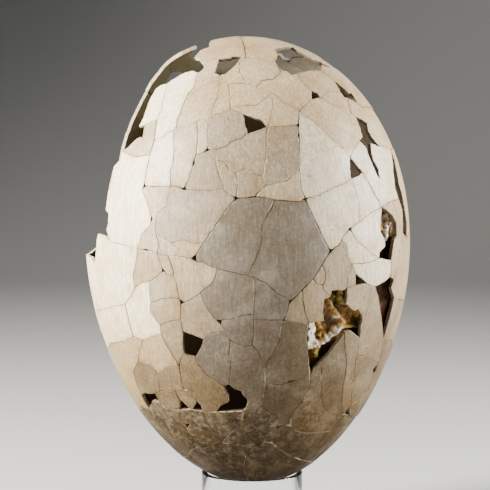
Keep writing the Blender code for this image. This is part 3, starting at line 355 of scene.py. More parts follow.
# Cracks of the belly, from the large dark plate in the middle outwards
BELLY_CRACKS = [
    front((236, 198.5), (245, 198), (255, 197), (263, 197), (274, 199.5), (282, 200.5), (298, 201.5),
          (305.5, 199)),
    front((305.5, 199), (309, 206), (313, 216), (318, 226), (323, 237), (327, 245), (331, 251)),
    front((331, 251), (326, 258), (322, 265), (318, 272), (313, 279), (308, 284.5), (303, 289),
          (298, 295), (290, 301.5)),
    front((290, 301.5), (285, 297), (277, 293.5), (271, 288), (267, 283), (260, 280.5), (254, 277.5),
          (248, 275.5)),
    front((248, 275.5), (240, 274.5), (231, 272), (223, 270), (217, 268.5), (210, 266), (203, 262),
          (196, 261.5)),
    front((236, 198.5), (231, 204), (226, 210.5), (221, 218), (213, 229), (208, 236), (203, 243),
          (200, 249), (196, 254)),
    front((274, 199.5), (272, 207), (268, 213), (264, 220), (261, 227), (262, 240), (259, 250),
          (256, 259), (252, 266), (248, 275.5)),
    front((331, 251), (340, 244), (342, 239), (346, 233), (350, 229), (360, 222), (371, 213),
          (382, 207.5)),
    front((342, 239), (347, 247), (348.5, 258), (352, 264), (356, 274)),
    front((350, 229), (357, 240), (368, 250), (373, 255), (380, 258)),
    front((313, 279), (317, 284), (323, 285), (324, 291), (331, 297)),
    front((322, 265), (326, 274), (325, 281), (323, 285)),
    front((366.5, 283), (371, 286), (376, 286.5)),
    front((371, 286), (369, 295), (368, 305), (363, 319)),
    front((356, 285.5), (350, 287), (347, 288)),
    front((391.5, 260.5), (391.5, 268), (391, 276.5)),
    front((403, 232), (399.5, 250), (399, 265), (394, 280)),
    front((308.5, 324), (299, 323), (290, 322), (283.5, 320)),
    front((144, 186), (142, 190), (144.5, 196), (147, 203), (149.5, 211), (151.5, 219), (150, 225),
          (146, 230), (142, 234), (140, 240), (137, 248.5)),
    front((110, 242), (120, 244), (130, 247), (137, 248.5), (146, 250), (152, 250.5), (157, 254)),
    front((171, 186), (168, 196), (167, 206), (158, 213), (155, 222), (156, 234), (159, 246),
          (157, 254)),
    front((156, 234), (166, 240), (172, 243), (178, 250), (178, 256), (168, 256), (157, 254)),
    front((178, 256), (184, 257), (191, 259)),
    front((172, 243), (184, 240), (195, 244), (203, 243)),
    front((157, 254), (160, 262), (163, 270.5)),
    front((163, 270.5), (156, 277), (149, 282)),
    front((163, 270.5), (168, 275), (174, 277.5), (176, 283), (178, 292), (179.5, 299)),
    front((174, 277.5), (173, 270), (168, 256)),
    front((149, 282), (149.5, 292), (150.5, 302), (150, 312), (155, 319), (160, 325), (161, 334)),
    front((184.5, 302.5), (190, 300), (195, 296.5), (200, 293), (206, 288), (211, 284), (215, 278),
          (217, 268.5)),
    front((181, 304.5), (180.5, 313), (180.5, 320), (183, 332)),
    front((150.5, 302), (155, 301.5), (162, 299), (170, 298), (179.5, 299)),
    front((160, 325), (165, 323), (172, 320.5), (180.5, 320)),
    front((149, 282), (141, 283), (134, 289), (131, 296), (125, 304)),
    front((137, 248.5), (136, 262), (133, 275), (134, 289)),
    front((125, 304), (113, 307), (100, 310)) + back((283, -22), (272, -20)),
]

# Cracks of the lower front
LOWER_CRACKS = [
    front((200, 293), (203, 300), (207, 309), (213, 316), (216.5, 320)),
    front((222, 320), (231, 319), (240, 316.5), (254, 313.5)),
    front((254, 277.5), (254.5, 290), (254.5, 302), (254, 313.5), (253.5, 320)),
    front((253.5, 320), (262, 320), (275, 320), (283.5, 320)),
    front((290, 301.5), (288, 309), (285.5, 316), (283.5, 320), (281, 329), (279.5, 339), (275, 350),
          (268, 360), (264.5, 368)),
    front((253.5, 320), (254, 330), (252.5, 345), (258, 351), (262, 360), (264.5, 368)),
    front((221, 325.5), (224, 331), (230, 340), (229, 352), (231, 368), (229, 385)),
    front((203, 339.5), (212, 334), (224, 331)),
    front((230, 340), (238, 344), (246, 347), (252.5, 345)),
    front((264.5, 368), (264, 378), (265.5, 388), (263, 397), (261, 408), (255, 411), (247, 413),
          (243, 411)),
    front((265.5, 388), (272, 384), (282, 385), (290, 382), (299, 380), (310.5, 377)),
    front((310.5, 377), (310.5, 388), (304, 396), (302, 403), (295, 410), (291, 420), (291, 426),
          (296, 431), (304, 433), (318, 433), (330, 431)),
    front((322, 361), (321.5, 380), (321, 396), (323, 406), (326, 411), (333, 415), (340, 418),
          (343.5, 415)),
    front((340, 418), (335, 425), (330, 431), (326, 438), (316, 446), (306, 452), (296, 458)),
    front((360, 338.5), (358.5, 347), (357.5, 355), (355.5, 363), (354, 375), (352, 390), (350, 407)),
    front((345, 332), (344.5, 345), (347, 360), (346, 372), (343, 388), (342, 402), (343.5, 415)),
    front((357.5, 355), (366, 357), (374, 361), (378.5, 363)),
    front((384, 341), (382, 352), (378.5, 363)),
    front((373, 375), (365, 393), (350, 407)),
    front((261, 408), (268, 411), (276, 416), (279, 420), (277.5, 428), (274, 436), (272, 443)),
    front((277.5, 428), (284, 425), (291, 426)),
    front((243, 411), (242, 420), (237, 424), (235, 430), (231, 432), (226, 438), (222, 443)),
    front((222, 443), (231, 444), (241, 447), (250, 443), (260, 441), (272, 443), (284, 452),
          (296, 458)),
    front((241, 447), (245, 456), (243, 466)) + back((0, -121.1)),
    front((155, 394), (160, 391), (168, 390.5), (175, 390.5), (184, 390), (192, 390), (196.5, 401)),
    front((175, 390.5), (177, 396), (179.5, 400)),
    front((190.5, 409.5), (193, 409.5)),
    front((180, 409.5), (180, 418), (184, 424)),
    front((202.5, 411.5), (209, 412), (217, 411.5)),
    front((159.5, 403), (165, 408), (180, 409.5)),
    front((187.5, 428), (189, 436), (196, 447), (203, 449), (209, 447), (222, 443)),
    front((202.5, 411.5), (207, 424), (216, 434), (222, 443)),
    front((161, 334), (166, 345), (172, 355), (179, 366), (181, 378), (184, 390)),
    front((184, 353), (181, 359), (179, 366)),
    front((195, 358), (198, 364), (204, 372), (209, 377), (216, 380), (224, 386.5)),
    front((161, 334), (152, 337), (143, 340), (139, 352), (138, 362), (133, 372), (136, 384),
          (141, 395.5)),
    front((125, 304), (127, 314), (130, 326), (133, 337), (143, 340)),
    front((133, 337), (122, 341), (110, 344)) + back((282, -43), (272, -46)),
    front((138, 362), (150, 364), (158, 374), (160, 391)),
    front((148.5, 408.5), (152, 416), (165, 428), (178, 440), (185, 457)),
    front((148.5, 408.5), (142, 407)) + back((278, -78), (268, -82)),
    front((185, 457), (190, 451), (196, 447)),
]

# Cracks of the hidden side
BACK_CRACKS = [
    front((331, 66.5)) + back((92, 101), (112, 106), (132, 100), (156, 104), (178, 99), (200, 103))
    + inside((181, 73)),
    front((321, 61)) + back((85, 108), (112, 110)) + inside((294, 54)),
    inside((278, 50)) + back((165, 116), (185, 113)),
    inside((290, 59.5)) + back((132, 100)),
    back((207, 112), (200, 103)),
    inside((194, 57.5), (179, 69)),
    inside((186, 55), (170, 70), (168, 60)),
    inside((145, 90)) + back((233, 90)) + inside((168, 100)),
    back((85, 80), (104, 85), (126, 78), (148, 83), (172, 76), (196, 80), (220, 72)) + inside((126, 131)),
    back((196, 80)) + inside((184, 90)),
    front((391, 150)) + back((95, 58), (115, 50), (135, 57), (146, 53), (160, 48), (186, 54), (212, 45),
                             (239, 48)),
    front((407.3, 238)) + back((96, 18), (118, 27), (128, 23.8), (142, 19), (168, 25), (192, 15), (216, 22),
                               (240, 22)),
    front((395, 299), (404, 300)) + back((98, -14), (124, -24), (150, -12), (176, -22), (186, -19.5),
                                         (204, -14), (230, -24), (256, -14), (272, -20)),
    front((384, 341), (391, 340)) + back((88, -48), (112, -55), (138, -46), (166, -57), (190, -49),
                                         (218, -58), (228, -54.5), (246, -50), (272, -46)),
    front((350.5, 415.5), (353.5, 417)) + back((85, -84), (110, -90), (140, -82), (170, -91),
                                               (200, -83), (232, -90), (268, -82)),
    front((296, 458), (306, 461)) + back((75, -108), (130, -109), (180, -105), (230, -109), (285, -104))
    + front((185, 457)),
    back((92, 101), (88, 90), (85, 80)),
    back((132, 100), (128, 89), (126, 78)),
    back((156, 104), (150, 92), (148, 83)),
    back((178, 99), (176, 88), (172, 76)),
    back((200, 103), (199, 92), (196, 80)),
    back((104, 85), (104, 70), (95, 58)),
    back((126, 78), (122, 64), (115, 50)),
    back((148, 83), (141, 69), (135, 57)),
    back((172, 76), (165, 62), (160, 48)),
    back((196, 80), (190, 66), (186, 54)),
    back((220, 72), (217, 60), (212, 45)),
    back((95, 58), (92, 38), (96, 18)),
    back((115, 50), (120, 38), (118, 27)),
    back((139, 43), (143, 32), (142, 19)),
    back((160, 48), (163, 36), (168, 25)),
    back((186, 54), (186, 34), (192, 15)),
    back((212, 45), (218, 34), (216, 22)),
    back((96, 18), (90, 2), (98, -14)),
    back((121, 13), (122, -6), (124, -24)),
    back((142, 19), (150, 5), (150, -12)),
    back((168, 25), (172, 2), (176, -22)),
    back((192, 15), (200, 2), (204, -14)),
    back((216, 22), (224, 0), (230, -24)),
    back((245.3, 7.9), (252, -4), (256, -14)),
    back((124, -24), (118, -40), (112, -55)),
    back((150, -12), (143, -30), (138, -46)),
    back((178, -35), (172, -46), (166, -57)),
    back((204, -14), (196, -32), (190, -49)),
    back((230, -24), (224, -42), (218, -58)),
    back((256, -14), (250, -34), (246, -50)),
    back((272, -20), (275, -34), (272, -46)),
    back((98, -14), (94, -30), (88, -48)),
    back((88, -48), (84, -66), (85, -84)),
    back((112, -55), (108, -72), (110, -90)),
    back((138, -46), (144, -64), (140, -82)),
    back((166, -57), (172, -74), (170, -91)),
    back((190, -49), (196, -66), (200, -83)),
    back((225, -69), (230, -78), (232, -90)),
    back((246, -50), (256, -66), (268, -82)),
    back((110, -90), (120, -99), (130, -109)),
    back((140, -82), (160, -96), (180, -105)),
    back((200, -83), (216, -97), (230, -109)),
    back((268, -82), (274, -94), (285, -104)),
    back((130, -109), (120, -117), (0, -121.1)),
    back((230, -109), (240, -117), (0, -121.1)),
]

# Hairline cracks that split some fragments further
HAIRLINES = [
    front((351.5, 178.5), (356, 190), (359, 200), (360, 214), (360, 222)),
    front((303, 289), (303, 300), (305, 312), (308.5, 324)),
    front((349, 97), (348.5, 102), (352, 113)),
    front((352, 264), (362, 264), (372, 262), (380, 258)),
    front((352, 264), (348.5, 276), (347, 288)),
    front((158, 374), (168, 367), (179, 366)),
    front((196, 447), (190, 455)) + back((300, -108), (0, -121.1)),
]

# Cracks that gape, and corners where a splinter is missing
OPEN_CRACKS = [
    front((248, 275.5), (254, 277.5), (267, 283), (277, 293.5), (290, 301.5), (303, 289), (318, 272),
          (331, 251)),
    front((196, 261.5), (210, 266), (223, 270), (248, 275.5)),
    front((236, 198.5), (255, 197)),
    front((282, 200.5), (305.5, 199), (302, 190), (300, 145), (299, 111)),
    front((305.5, 199), (318, 226), (331, 251)),
    front((171, 186), (184, 189), (193.5, 163), (196, 154)),
    front((144, 186), (150, 155), (154, 140)),
    front((181, 304.5), (180.5, 320), (183, 332)),
    front((350, 229), (360, 222), (382, 207.5)),
    front((350, 229), (357, 240), (368, 250)),
    front((290, 301.5), (285.5, 316), (283.5, 320)),
    front((309, 377), (310.5, 388)),
]
JUNCTIONS = np.array(front(
    (184, 189), (236, 198.5), (305.5, 199), (331, 251), (298.5, 125), (299, 135), (144, 186), (151.5, 219),
    (146, 250), (290, 301.5), (283.5, 320), (302, 403), (350, 229), (290, 382), (277.5, 428), (207.5, 150),
    (193.5, 163), (181, 366), (163, 270.5), (378, 145)))

# Cracks that are filled with pale glue
GLUED_CRACKS = [
    front((267, 157), (263.5, 177), (266, 186), (255, 197)),
    front((266, 186), (281, 182.5), (300, 170)),
    front((274, 199.5), (268, 213), (261, 227)),
    front((254, 280), (254, 300)),
    front((209, 412), (243, 411), (242, 420)),
    front((264.5, 368), (265.5, 388)),
    front((309, 355), (310.5, 388)),
    front((245, 456), (243, 466)),
    front((296, 458), (308, 457)),
    front((198, 121), (197, 154)),
    front((217, 149), (215.5, 160)),
    front((244, 169), (252, 173)),
    front((229, 170), (238, 184)),
]

# Tints of the shell's outside, as linear colours
TINTS = {
    "cream": (0.49, 0.378, 0.228),
    # The ivory is partly painted light: near white where the strong light falls on the left
    "ivory_and_painted_light": (0.88, 0.775, 0.560),
    "sand": (0.325, 0.258, 0.168),
    "dun": (0.31, 0.243, 0.156),
    "taupe": (0.172, 0.141, 0.103),
    "pale": (0.67, 0.590, 0.430),
    "buff": (0.26, 0.200, 0.118),
    "olive": (0.140, 0.106, 0.058),
    "mottled": (0.130, 0.099, 0.058),
}

# The tints that go with heights above the egg's centre, darker lower down partly as painted shade, and the
# height below which the shell is worn
TINT_HEIGHTS = (-0.088, -0.045, 0.040)
HEIGHT_TINTS = ("olive", "buff", "cream")
WORN_BELOW = -0.070
FOOT_WEAR = 0.6

# How much lighter or darker and warmer or colder fragments of one tint are
TINT_SPREAD = 0.035
WARMTH = (0.3, 0.0, -0.8)
TINT_LIMITS = (0.02, 0.9)
TINT_SEED = 21

# Fragments whose tint stands out, by a place inside each
TINTED = {
    "taupe": [(230, 240), (290, 240), (245, 300), (235, 340), (235, 350), (240, 360), (222, 345),
              (268, 300), (270, 340)],
    "dun": [(285, 150), (275, 175), (250, 150), (262, 178), (230, 130), (205, 175), (180, 220), (235, 180)],
    "cream": [(125, 360), (155, 355)],
    "sand": [(190, 300), (200, 330), (300, 350), (330, 275)],
    "pale": [(325, 160), (340, 210), (370, 235), (365, 250), (360, 160), (385, 175), (375, 195),
             (368, 268), (375, 274)],
    "olive": [(290, 350), (300, 400), (265, 395), (330, 400), (300, 440)],
    "mottled": [(235, 435), (210, 430), (190, 420), (255, 430), (225, 455), (275, 460), (170, 430),
                (225, 420)],
    # Ivory fragments lie on the lit left side: partly their own pale tone, partly painted light
    "ivory_and_painted_light": [(115, 270), (130, 200), (120, 330), (150, 180), (140, 290), (155, 100), (175, 110)],
}


def number_points(lines):
    """Every different point once, and each line as a list of point numbers."""
    points = np.empty((0, 3))
    paths = []
    for line in lines:
        path = []
        for point in line:
            apart = np.linalg.norm(points - point, axis=1)
            if len(points) and apart.min() < SNAP:
                number = int(apart.argmin())
            else:
                number = len(points)
                points = np.vstack([points, point])
            if not path or path[-1] != number:
                path.append(number)
        paths.append(path)
    return points, paths


def neighbours_of(edges):
    """For every point, the set of points that a crack joins it to."""
    beside = {}
    for a, b in edges:
        beside.setdefault(a, set()).add(b)
        beside.setdefault(b, set()).add(a)
    return beside


def flat_map(centre):
    """Two axes square to a direction, for flattening a plate and for lifting it back."""
    upright = abs(centre[2]) > NEARLY_UPRIGHT
    east = np.cross((0.0, 1.0, 0.0) if upright else (0.0, 0.0, 1.0), centre)
    east /= np.linalg.norm(east)
    return east, np.cross(centre, east)


def trace_loops(points, edges):
    """The outline of every patch between the cracks, counter-clockwise seen from outside the egg."""
    turn = {}
    for a, around in neighbours_of(edges).items():
        out = points[a] / np.linalg.norm(points[a])
        east, north = flat_map(out)
        order = sorted(around, key=lambda b: math.atan2((points[b] - points[a]) @ north,
                                                        (points[b] - points[a]) @ east))
        for place, b in enumerate(order):
            turn[(b, a)] = order[place - 1]
    loops, used = [], set()
    for start in sorted(turn):
        if start in used:
            continue
        loop, step = [], start
        while step not in used:
            used.add(step)
            loop.append(step[0])
            step = (step[1], turn[step])
        loops.append(loop)
    return loops


def unit(values):
    """Values kept between 0 and 1."""
    return np.clip(values, 0.0, 1.0)


def line_distance(places, starts, ends):
    """Distance from flat or solid places to the nearest of many line pieces."""
    along = ends - starts
    offset = places[:, None] - starts
    share = (offset * along).sum(2) / np.maximum((along * along).sum(1), TINY ** 2)
    return np.linalg.norm(offset - unit(share)[..., None] * along, axis=2).min(axis=1)


def line_pieces(lines):
    """The starts and the ends of the pieces of many lines."""
    return (np.vstack([np.array(line[:-1]) for line in lines]),
            np.vstack([np.array(line[1:]) for line in lines]))


OPEN_PIECES = line_pieces(OPEN_CRACKS)
GLUED_PIECES = line_pieces(GLUED_CRACKS)
OPENING_PIECES = line_pieces(OPENING)


def nearest(places, points):
    """Distance from places to the nearest of a few points."""
    return np.linalg.norm(places[:, None] - points, axis=2).min(axis=1)


def seeded_waves(rng, count):
    """Seeded directions of plane waves, longer for finer waves."""
    waves = rng.normal(size=(count, 3))
    return waves * (rng.uniform(*WAVE_FINENESS, (count, 1)) / np.linalg.norm(waves, axis=1)[:, None])


def ripple(places, scale, seed):
    """Smooth noise between -1 and 1: the mean of a few plane waves in seeded directions."""
    rng = np.random.default_rng(seed)
    waves = seeded_waves(rng, RIPPLE_WAVES)
    turn = places @ waves.T * scale + rng.uniform(0.0, 2.0 * math.pi, RIPPLE_WAVES)
    return np.sin(turn).mean(axis=1) * RIPPLE_GAIN


def uneven(places, share, scale, seed):
    """A factor that wavers round 1 by a share."""
    return 1.0 + share * ripple(places, scale, seed)


def jagged_cracks(points, edges):
    """Each crack as a fine line: straight, but pushed sideways by waves and grain that fade at its ends."""
    rng = np.random.default_rng(CRACK_SEED)
    lines = {}
    for a, b in sorted(edges):
        start, end = points[a], points[b]
        length = np.linalg.norm(end - start)
        share = np.linspace(0.0, 1.0, max(1, math.ceil(length / CRACK_STEP)) + 1)
        turns = share[:, None] * length * rng.uniform(*CRACK_WAVES, 3) + rng.uniform(*CRACK_STARTS, 3)
        push = CRACK_BEND * np.sin(turns).mean(axis=1)
        push += CRACK_GRAIN * rng.normal(size=len(share))
        push *= np.minimum(1.0, CRACK_GROWTH * np.minimum(share, 1.0 - share))
        side = np.cross(start + end, end - start)
        side /= np.linalg.norm(side)
        lines[(a, b)] = on_egg(start + share[:, None] * (end - start) + push[:, None] * side)
        lines[(b, a)] = lines[(a, b)][::-1]
    return lines


def crack_half_width(places):
    """Half the gap of the cracks.

    It goes from narrow to wide by slow noise, is finer high on the egg, and wider along gaping cracks and at
    splintered corners.
    """
    share = unit(sum((part * ripple(places, scale, seed) for part, scale, seed in CRACK_NOISE), CRACK_MIDDLE))
    gape = unit(OPEN_SPAN - line_distance(places, *OPEN_PIECES) / OPEN_REACH)
    corner = np.exp(-(nearest(places, JUNCTIONS) / JUNCTION_REACH) ** 2)
    fine = 1.0 - CRACK_FINER * unit((places[:, 2] - FINER_FROM) / FINER_OVER)
    return (CRACK_NARROW + (CRACK_WIDE - CRACK_NARROW) * fine * share ** 3 + JUNCTION_EXTRA * corner
            + OPEN_EXTRA * gape * (OPEN_LEAST + (1.0 - OPEN_LEAST) * share))


def shrink_outline(ring):
    """An outline moved in by half the crack's gap, pointed corners cut short, and its inward directions."""
    up = outward(ring)
    sides = []
    for along in (ring - np.roll(ring, 1, axis=0), np.roll(ring, -1, axis=0) - ring):
        side = np.cross(up, along)
        sides.append(side / np.maximum(np.linalg.norm(side, axis=1), TINY)[:, None])
    middle = sides[0] + sides[1]
    length = np.maximum(np.linalg.norm(middle, axis=1), SLOPE_STEP)
    middle /= length[:, None]
    reach = crack_half_width(ring) * np.minimum(2.0 / length, LONGEST_CORNER)
    return on_egg(ring + middle * reach[:, None]), middle


def inside_outline(places, ring):
    """Which flat places lie inside a closed outline, by the odd number of its sides to their right."""
    start, end = ring, np.roll(ring, -1, axis=0)
    above = (start[:, 1] > places[:, 1:2]) != (end[:, 1] > places[:, 1:2])
    rise = np.where(end[:, 1] == start[:, 1], 1.0, end[:, 1] - start[:, 1])
    crossing = start[:, 0] + (places[:, 1:2] - start[:, 1]) * (end[:, 0] - start[:, 0]) / rise
    return (above & (places[:, :1] < crossing)).sum(axis=1) % 2 == 1


def fragment_places(flat, bands):
    """Where a flat fragment gets corners: its outline, the rings behind it, and a triangular grid within."""
    ends = np.roll(flat, -1, axis=0)
    places = [flat]
    for depth, band in zip(RIM_RINGS, bands):
        keep = inside_outline(band, flat) & (line_distance(band, flat, ends) > RING_CLEAR * depth)
        if depth == RIM_RINGS[-1]:
            keep &= np.arange(len(band)) % 2 == 0
        places.append(band[keep])
    low, high = flat.min(axis=0), flat.max(axis=0)
    across, up = np.meshgrid(np.arange(low[0], high[0], GRID_STEP),
                             np.arange(low[1], high[1], GRID_STEP * math.sqrt(0.75)))
    across[1::2] += 0.5 * GRID_STEP
    grid = np.column_stack([across.ravel(), up.ravel()])
    grid = grid[inside_outline(grid, flat)]
    if len(grid):
        grid = grid[line_distance(grid, flat, ends) > RIM_RINGS[-1] + GRID_CLEAR * GRID_STEP]
    return np.vstack(places + [grid])


def open_edges(faces):
    """The directed edges that only one triangle has, in order."""
    edges = np.vstack([faces[:, [0, 1]], faces[:, [1, 2]], faces[:, [2, 0]]]).tolist()
    known = set(map(tuple, edges))
    return np.array([e for e in edges if (e[1], e[0]) not in known])


def fragment_surface(outline, seed):
    """One fragment: corners, outer triangles, inner triangles, wall quads, and distance from the rim.

    The outer face is the egg, a little sunk and tilted, and falls away at the rim as a quarter circle. The
    inner face is the same grid one shell thickness further in.
    """
    ring, inward = shrink_outline(outline)
    reach = np.linalg.norm(ring.mean(axis=0))
    centre = ring.mean(axis=0) / reach
    axes = np.array(flat_map(centre))

    def flatten(places):
        return places @ axes.T / (places @ centre)[:, None] * reach

    flat = flatten(ring)
    places = fragment_places(flat, [flatten(ring + inward * depth) for depth in RIM_RINGS])
    cut = delaunay_2d_cdt([Vector(p) for p in places / reach], [], [list(range(len(flat)))],
                          KEEP_INSIDE, FLAT_TOLERANCE)
    corners, faces = np.array(cut[0]) * reach, np.array(cut[2])
    rim = line_distance(corners, flat, np.roll(flat, -1, axis=0))
    surface = on_egg(centre * reach + corners @ axes)
    rng = np.random.default_rng(seed)
    sink = np.clip(corners @ rng.uniform(-TILT_SPREAD, TILT_SPREAD, 2), -LEVEL_SPREAD, LEVEL_SPREAD)
    sink += rng.uniform(-1.0, 0.0) * LEVEL_SPREAD - sink.max()
    worn = RIM_ROUND * uneven(surface, *RIM_UNEVEN)
    hollow = unit(1.0 - rim / worn)
    fall = worn * (1.0 - np.sqrt(1.0 - hollow * hollow))
    normals = outward(surface)
    outer = surface + normals * (sink - fall)[:, None]
    inner = surface + normals * (sink - SHELL_THICKNESS * uneven(surface, *THICKNESS_UNEVEN))[:, None]
    edge = open_edges(faces)
    walls = np.column_stack([edge[:, 1], edge[:, 0], edge[:, 0] + len(corners), edge[:, 1] + len(corners)])
    return np.vstack([outer, inner]), faces, faces[:, ::-1] + len(corners), walls, np.tile(rim, 2)


def fragment_tints(outlines):
    """A colour for every fragment: its listed tint or one by its height, a little lighter or darker.

    The fourth number is how worn the fragment is.
    """
    heights = [outline[:, 2].mean() for outline in outlines]
    scale = np.array([TINTS[name] for name in HEIGHT_TINTS])
    tints = np.column_stack([np.interp(heights, TINT_HEIGHTS, scale[:, channel]) for channel in range(3)])
    wear = np.array([FOOT_WEAR if h < WORN_BELOW else 0.0 for h in heights])
    for name, pixels in TINTED.items():
        for place in front(*pixels):
            direction = place / np.linalg.norm(place)
            axes = np.array(flat_map(direction))
            for i, outline in enumerate(outlines):
                depth = outline @ direction
                flat = outline @ axes.T / depth[:, None]
                if (depth > 0.0).all() and inside_outline(np.zeros((1, 2)), flat)[0]:
                    tints[i] = TINTS[name]
                    wear[i] = 1.0 if name == "mottled" else wear[i]
    rng = np.random.default_rng(TINT_SEED)
    shade = 1.0 + TINT_SPREAD * rng.normal(size=(len(tints), 1))
    warmth = 1.0 + TINT_SPREAD * rng.normal(size=(len(tints), 1)) * np.array([WARMTH])
    return np.column_stack([np.clip(tints * shade * warmth, *TINT_LIMITS), wear])


def leaning(places):
    """Places round the upright egg's centre, brought to where the egg stands, its top turned to the left."""
    return places @ np.array(Matrix.Rotation(-EGG_LEAN, 3, SIGHT)).T + EGG_CENTRE


def cad_plates():
    """The solids of all CAD plates as one tree to look up, and the node that each of its faces is of."""
    corners, faces, owner = [], [], []
    for node in SHELL_NODES:
        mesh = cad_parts[node].data
        faces += [tuple(len(corners) + i for i in p.vertices) for p in mesh.polygons]
        corners += [tuple(v.co) for v in mesh.vertices]
        owner += [node] * len(mesh.polygons)
    return BVHTree.FromPolygons(corners, faces), owner


def gathered_fragments():
    """All fragments with their tints, gathered by the CAD plate that each one lies on."""
    points, paths = number_points(OPENING + HOLES + CROWN_CRACKS + UPPER_CRACKS + BELLY_CRACKS + LOWER_CRACKS
                                  + BACK_CRACKS + HAIRLINES)
    rims = [set(path) for path in paths[:len(OPENING) + len(HOLES)]]
    edges = {tuple(sorted(e)) for path in paths for e in zip(path, path[1:])}
    loops = [loop for loop in trace_loops(points, edges) if not any(set(loop) <= rim for rim in rims)]
    fine = jagged_cracks(points, edges)
    outlines = [np.vstack([fine[step][:-1] for step in zip(loop, loop[1:] + loop[:1])]) for loop in loops]
    tints = fragment_tints(outlines)
    plates, owner = cad_plates()
    gathered = {}
    for number, outline in enumerate(outlines):
        surface = fragment_surface(outline, FRAGMENT_SEED + number)
        places, outer, rim = surface[0], surface[1], surface[4]
        deepest = places[outer[rim[outer].mean(axis=1).argmax()]].mean(axis=0)
        node = owner[plates.find_nearest(Vector(leaning(deepest)))[2]]
        gathered.setdefault(node, []).append((surface, tints[number]))
    return gathered


def add_mesh(name, corners, faces, finishes, slots=None, crease=None):
    """A finished piece from corners and faces in place, sharp where faces turn by more than the crease."""
    mesh = bpy.data.meshes.new(name)
    mesh.from_pydata(corners.tolist(), [], faces)
    for finish in finishes:
        mesh.materials.append(finish)
    if slots is not None:
        mesh.polygons.foreach_set("material_index", slots)
    mesh.shade_smooth()
    if crease is not None:
        mesh.set_sharp_from_angle(angle=math.radians(crease))
    return add_object(name, mesh)


def add_object(name, data):
    """An object in the scene."""
    made = bpy.data.objects.new(name, data)
    bpy.context.scene.collection.objects.link(made)
    return made


def add_attribute(piece, name, values):
    """A number or a colour on every corner, for the materials."""
    kind, field = ("FLOAT", "value") if values.ndim == 1 else ("FLOAT_COLOR", "color")
    piece.data.attributes.new(name, kind, "POINT").data.foreach_set(field, values.ravel())


def ride(piece, node):
    """Carry a piece on the egg's body, in place of its CAD node."""
    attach(piece, "root")
    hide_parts(node)


def add_shell(finishes):
    """One object for each CAD plate, with all its fragments: outside, inside and broken edge by slot."""
    for node, fragments in sorted(gathered_fragments().items()):
        corners, faces, slots, rims, tints = [], [], [], [], []
        count = 0
        for (places, outer, inner, walls, rim), tint in fragments:
            faces += (outer + count).tolist() + (inner + count).tolist() + (walls + count).tolist()
            slots += [0] * len(outer) + [1] * len(inner) + [2] * len(walls)
            corners.append(places)
            rims.append(rim)
            tints.append(np.tile(tint, (len(places), 1)))
            count += len(places)
        corners, rims = np.vstack(corners), np.concatenate(rims)
        close = rims < NEAR_RIM
        glue = np.full(count, RIM_REACH)
        glue[close] = line_distance(corners[close], *GLUED_PIECES) * IN_MILLIMETRES
        fresh = np.zeros(count)
        fresh[close] = unit(FRESH_SPAN - line_distance(corners[close], *OPENING_PIECES) / FRESH_REACH)
        piece = add_mesh(node.replace("shell", "fragments"), leaning(corners), faces, finishes, slots,
                         SHELL_CREASE)
        add_attribute(piece, "rim", np.minimum(rims * IN_MILLIMETRES, RIM_REACH))
        add_attribute(piece, "glue", np.minimum(glue, RIM_REACH))
        add_attribute(piece, "tint", np.vstack(tints))
        add_attribute(piece, "fresh", fresh)
        ride(piece, node)


# Noises of the materials: fineness for each metre, detail and roughness
NOISES = {
    "blotch": (62.0, 5.0, 0.62),
    "grain": (760.0, 3.0, 0.7),
    "grooves": (900.0, 2.0, 0.6),
    "stain": (24.0, 6.0, 0.7),
    "veins": (210.0, 3.0, 0.65),
    "crazed": (90.0, 4.0, 0.6),
    "crust": (260.0, 4.0, 0.7),
    "patches": (75.0, 4.0, 0.6),
    "filling": (420.0, 3.0, 0.6),
    "membrane": (34.0, 6.0, 0.65),
    "cloud": (420.0, 4.0, 0.6),
    "crinkle": (700.0, 3.0, 0.6),
    "waver": (90.0, 2.0, 0.6),
}

# Pores: how fine their cells are, how much their size varies, and their edge
PORE_CELLS = 520.0
PORE_VARIETY = 0.12
PORE_EDGE = (0.06, 0.20)
GROOVE_STRETCH = (1.0, 1.0, 0.10)
PORE_STRETCH = (1.0, 1.0, 0.6)
SCUFF_STRETCH = (1.0, 1.0, 0.3)

# What is laid over the shell's tint, as linear colours: some cover it, and the others darken it
COVERS = {
    "blotch": (0.80, 0.74, 0.62),
    "crumbs": (0.86, 0.79, 0.66),
    "crust": (0.24, 0.190, 0.115),
    "dirt": (0.15, 0.105, 0.06),
    "glue": (0.56, 0.48, 0.32),
    "fresh": (0.60, 0.52, 0.38),
    "edge": (0.14, 0.096, 0.055),
    "inner dirt": (0.11, 0.08, 0.045),
}
WASHES = {
    "blotch": (0.78, 0.66, 0.46),
    "stain": (0.72, 0.60, 0.40),
    "grain": (0.62, 0.54, 0.44),
    "grooves": (0.66, 0.59, 0.50),
    # The low and foot washes darken the lower shell, partly as its own colour and partly as painted shade
    "low": (0.50, 0.42, 0.28),
    "pores": (0.36, 0.30, 0.23),
    "crazing": (0.30, 0.25, 0.19),
    "foot": (0.40, 0.33, 0.21),
    "halo": (0.62, 0.50, 0.30),
    "edge grain": (0.40, 0.31, 0.20),
    "inner grain": (0.66, 0.60, 0.50),
}

# Heights above the floor between which the shell changes, in metres
LOW_HEIGHTS = (0.075, 0.200)
FOOT_HEIGHTS = (0.035, 0.085)
CLEAN_HEIGHTS = (0.14, 0.20)
MATT_HEIGHTS = (0.055, 0.150)
STAIN_RISE = 0.05

# Distances from a rim over which dirt, its halo and glue fade, in millimetres
DIRT_FADE = (0.04, 0.38)
HALO_FADE = (0.3, 2.2)
GLUE_FADE = (0.10, 0.40)
GLUED_FADE = (0.15, 0.55)
INNER_FADE = (0.0, 0.7)
DIRT_PATCHES = (0.42, 0.60)
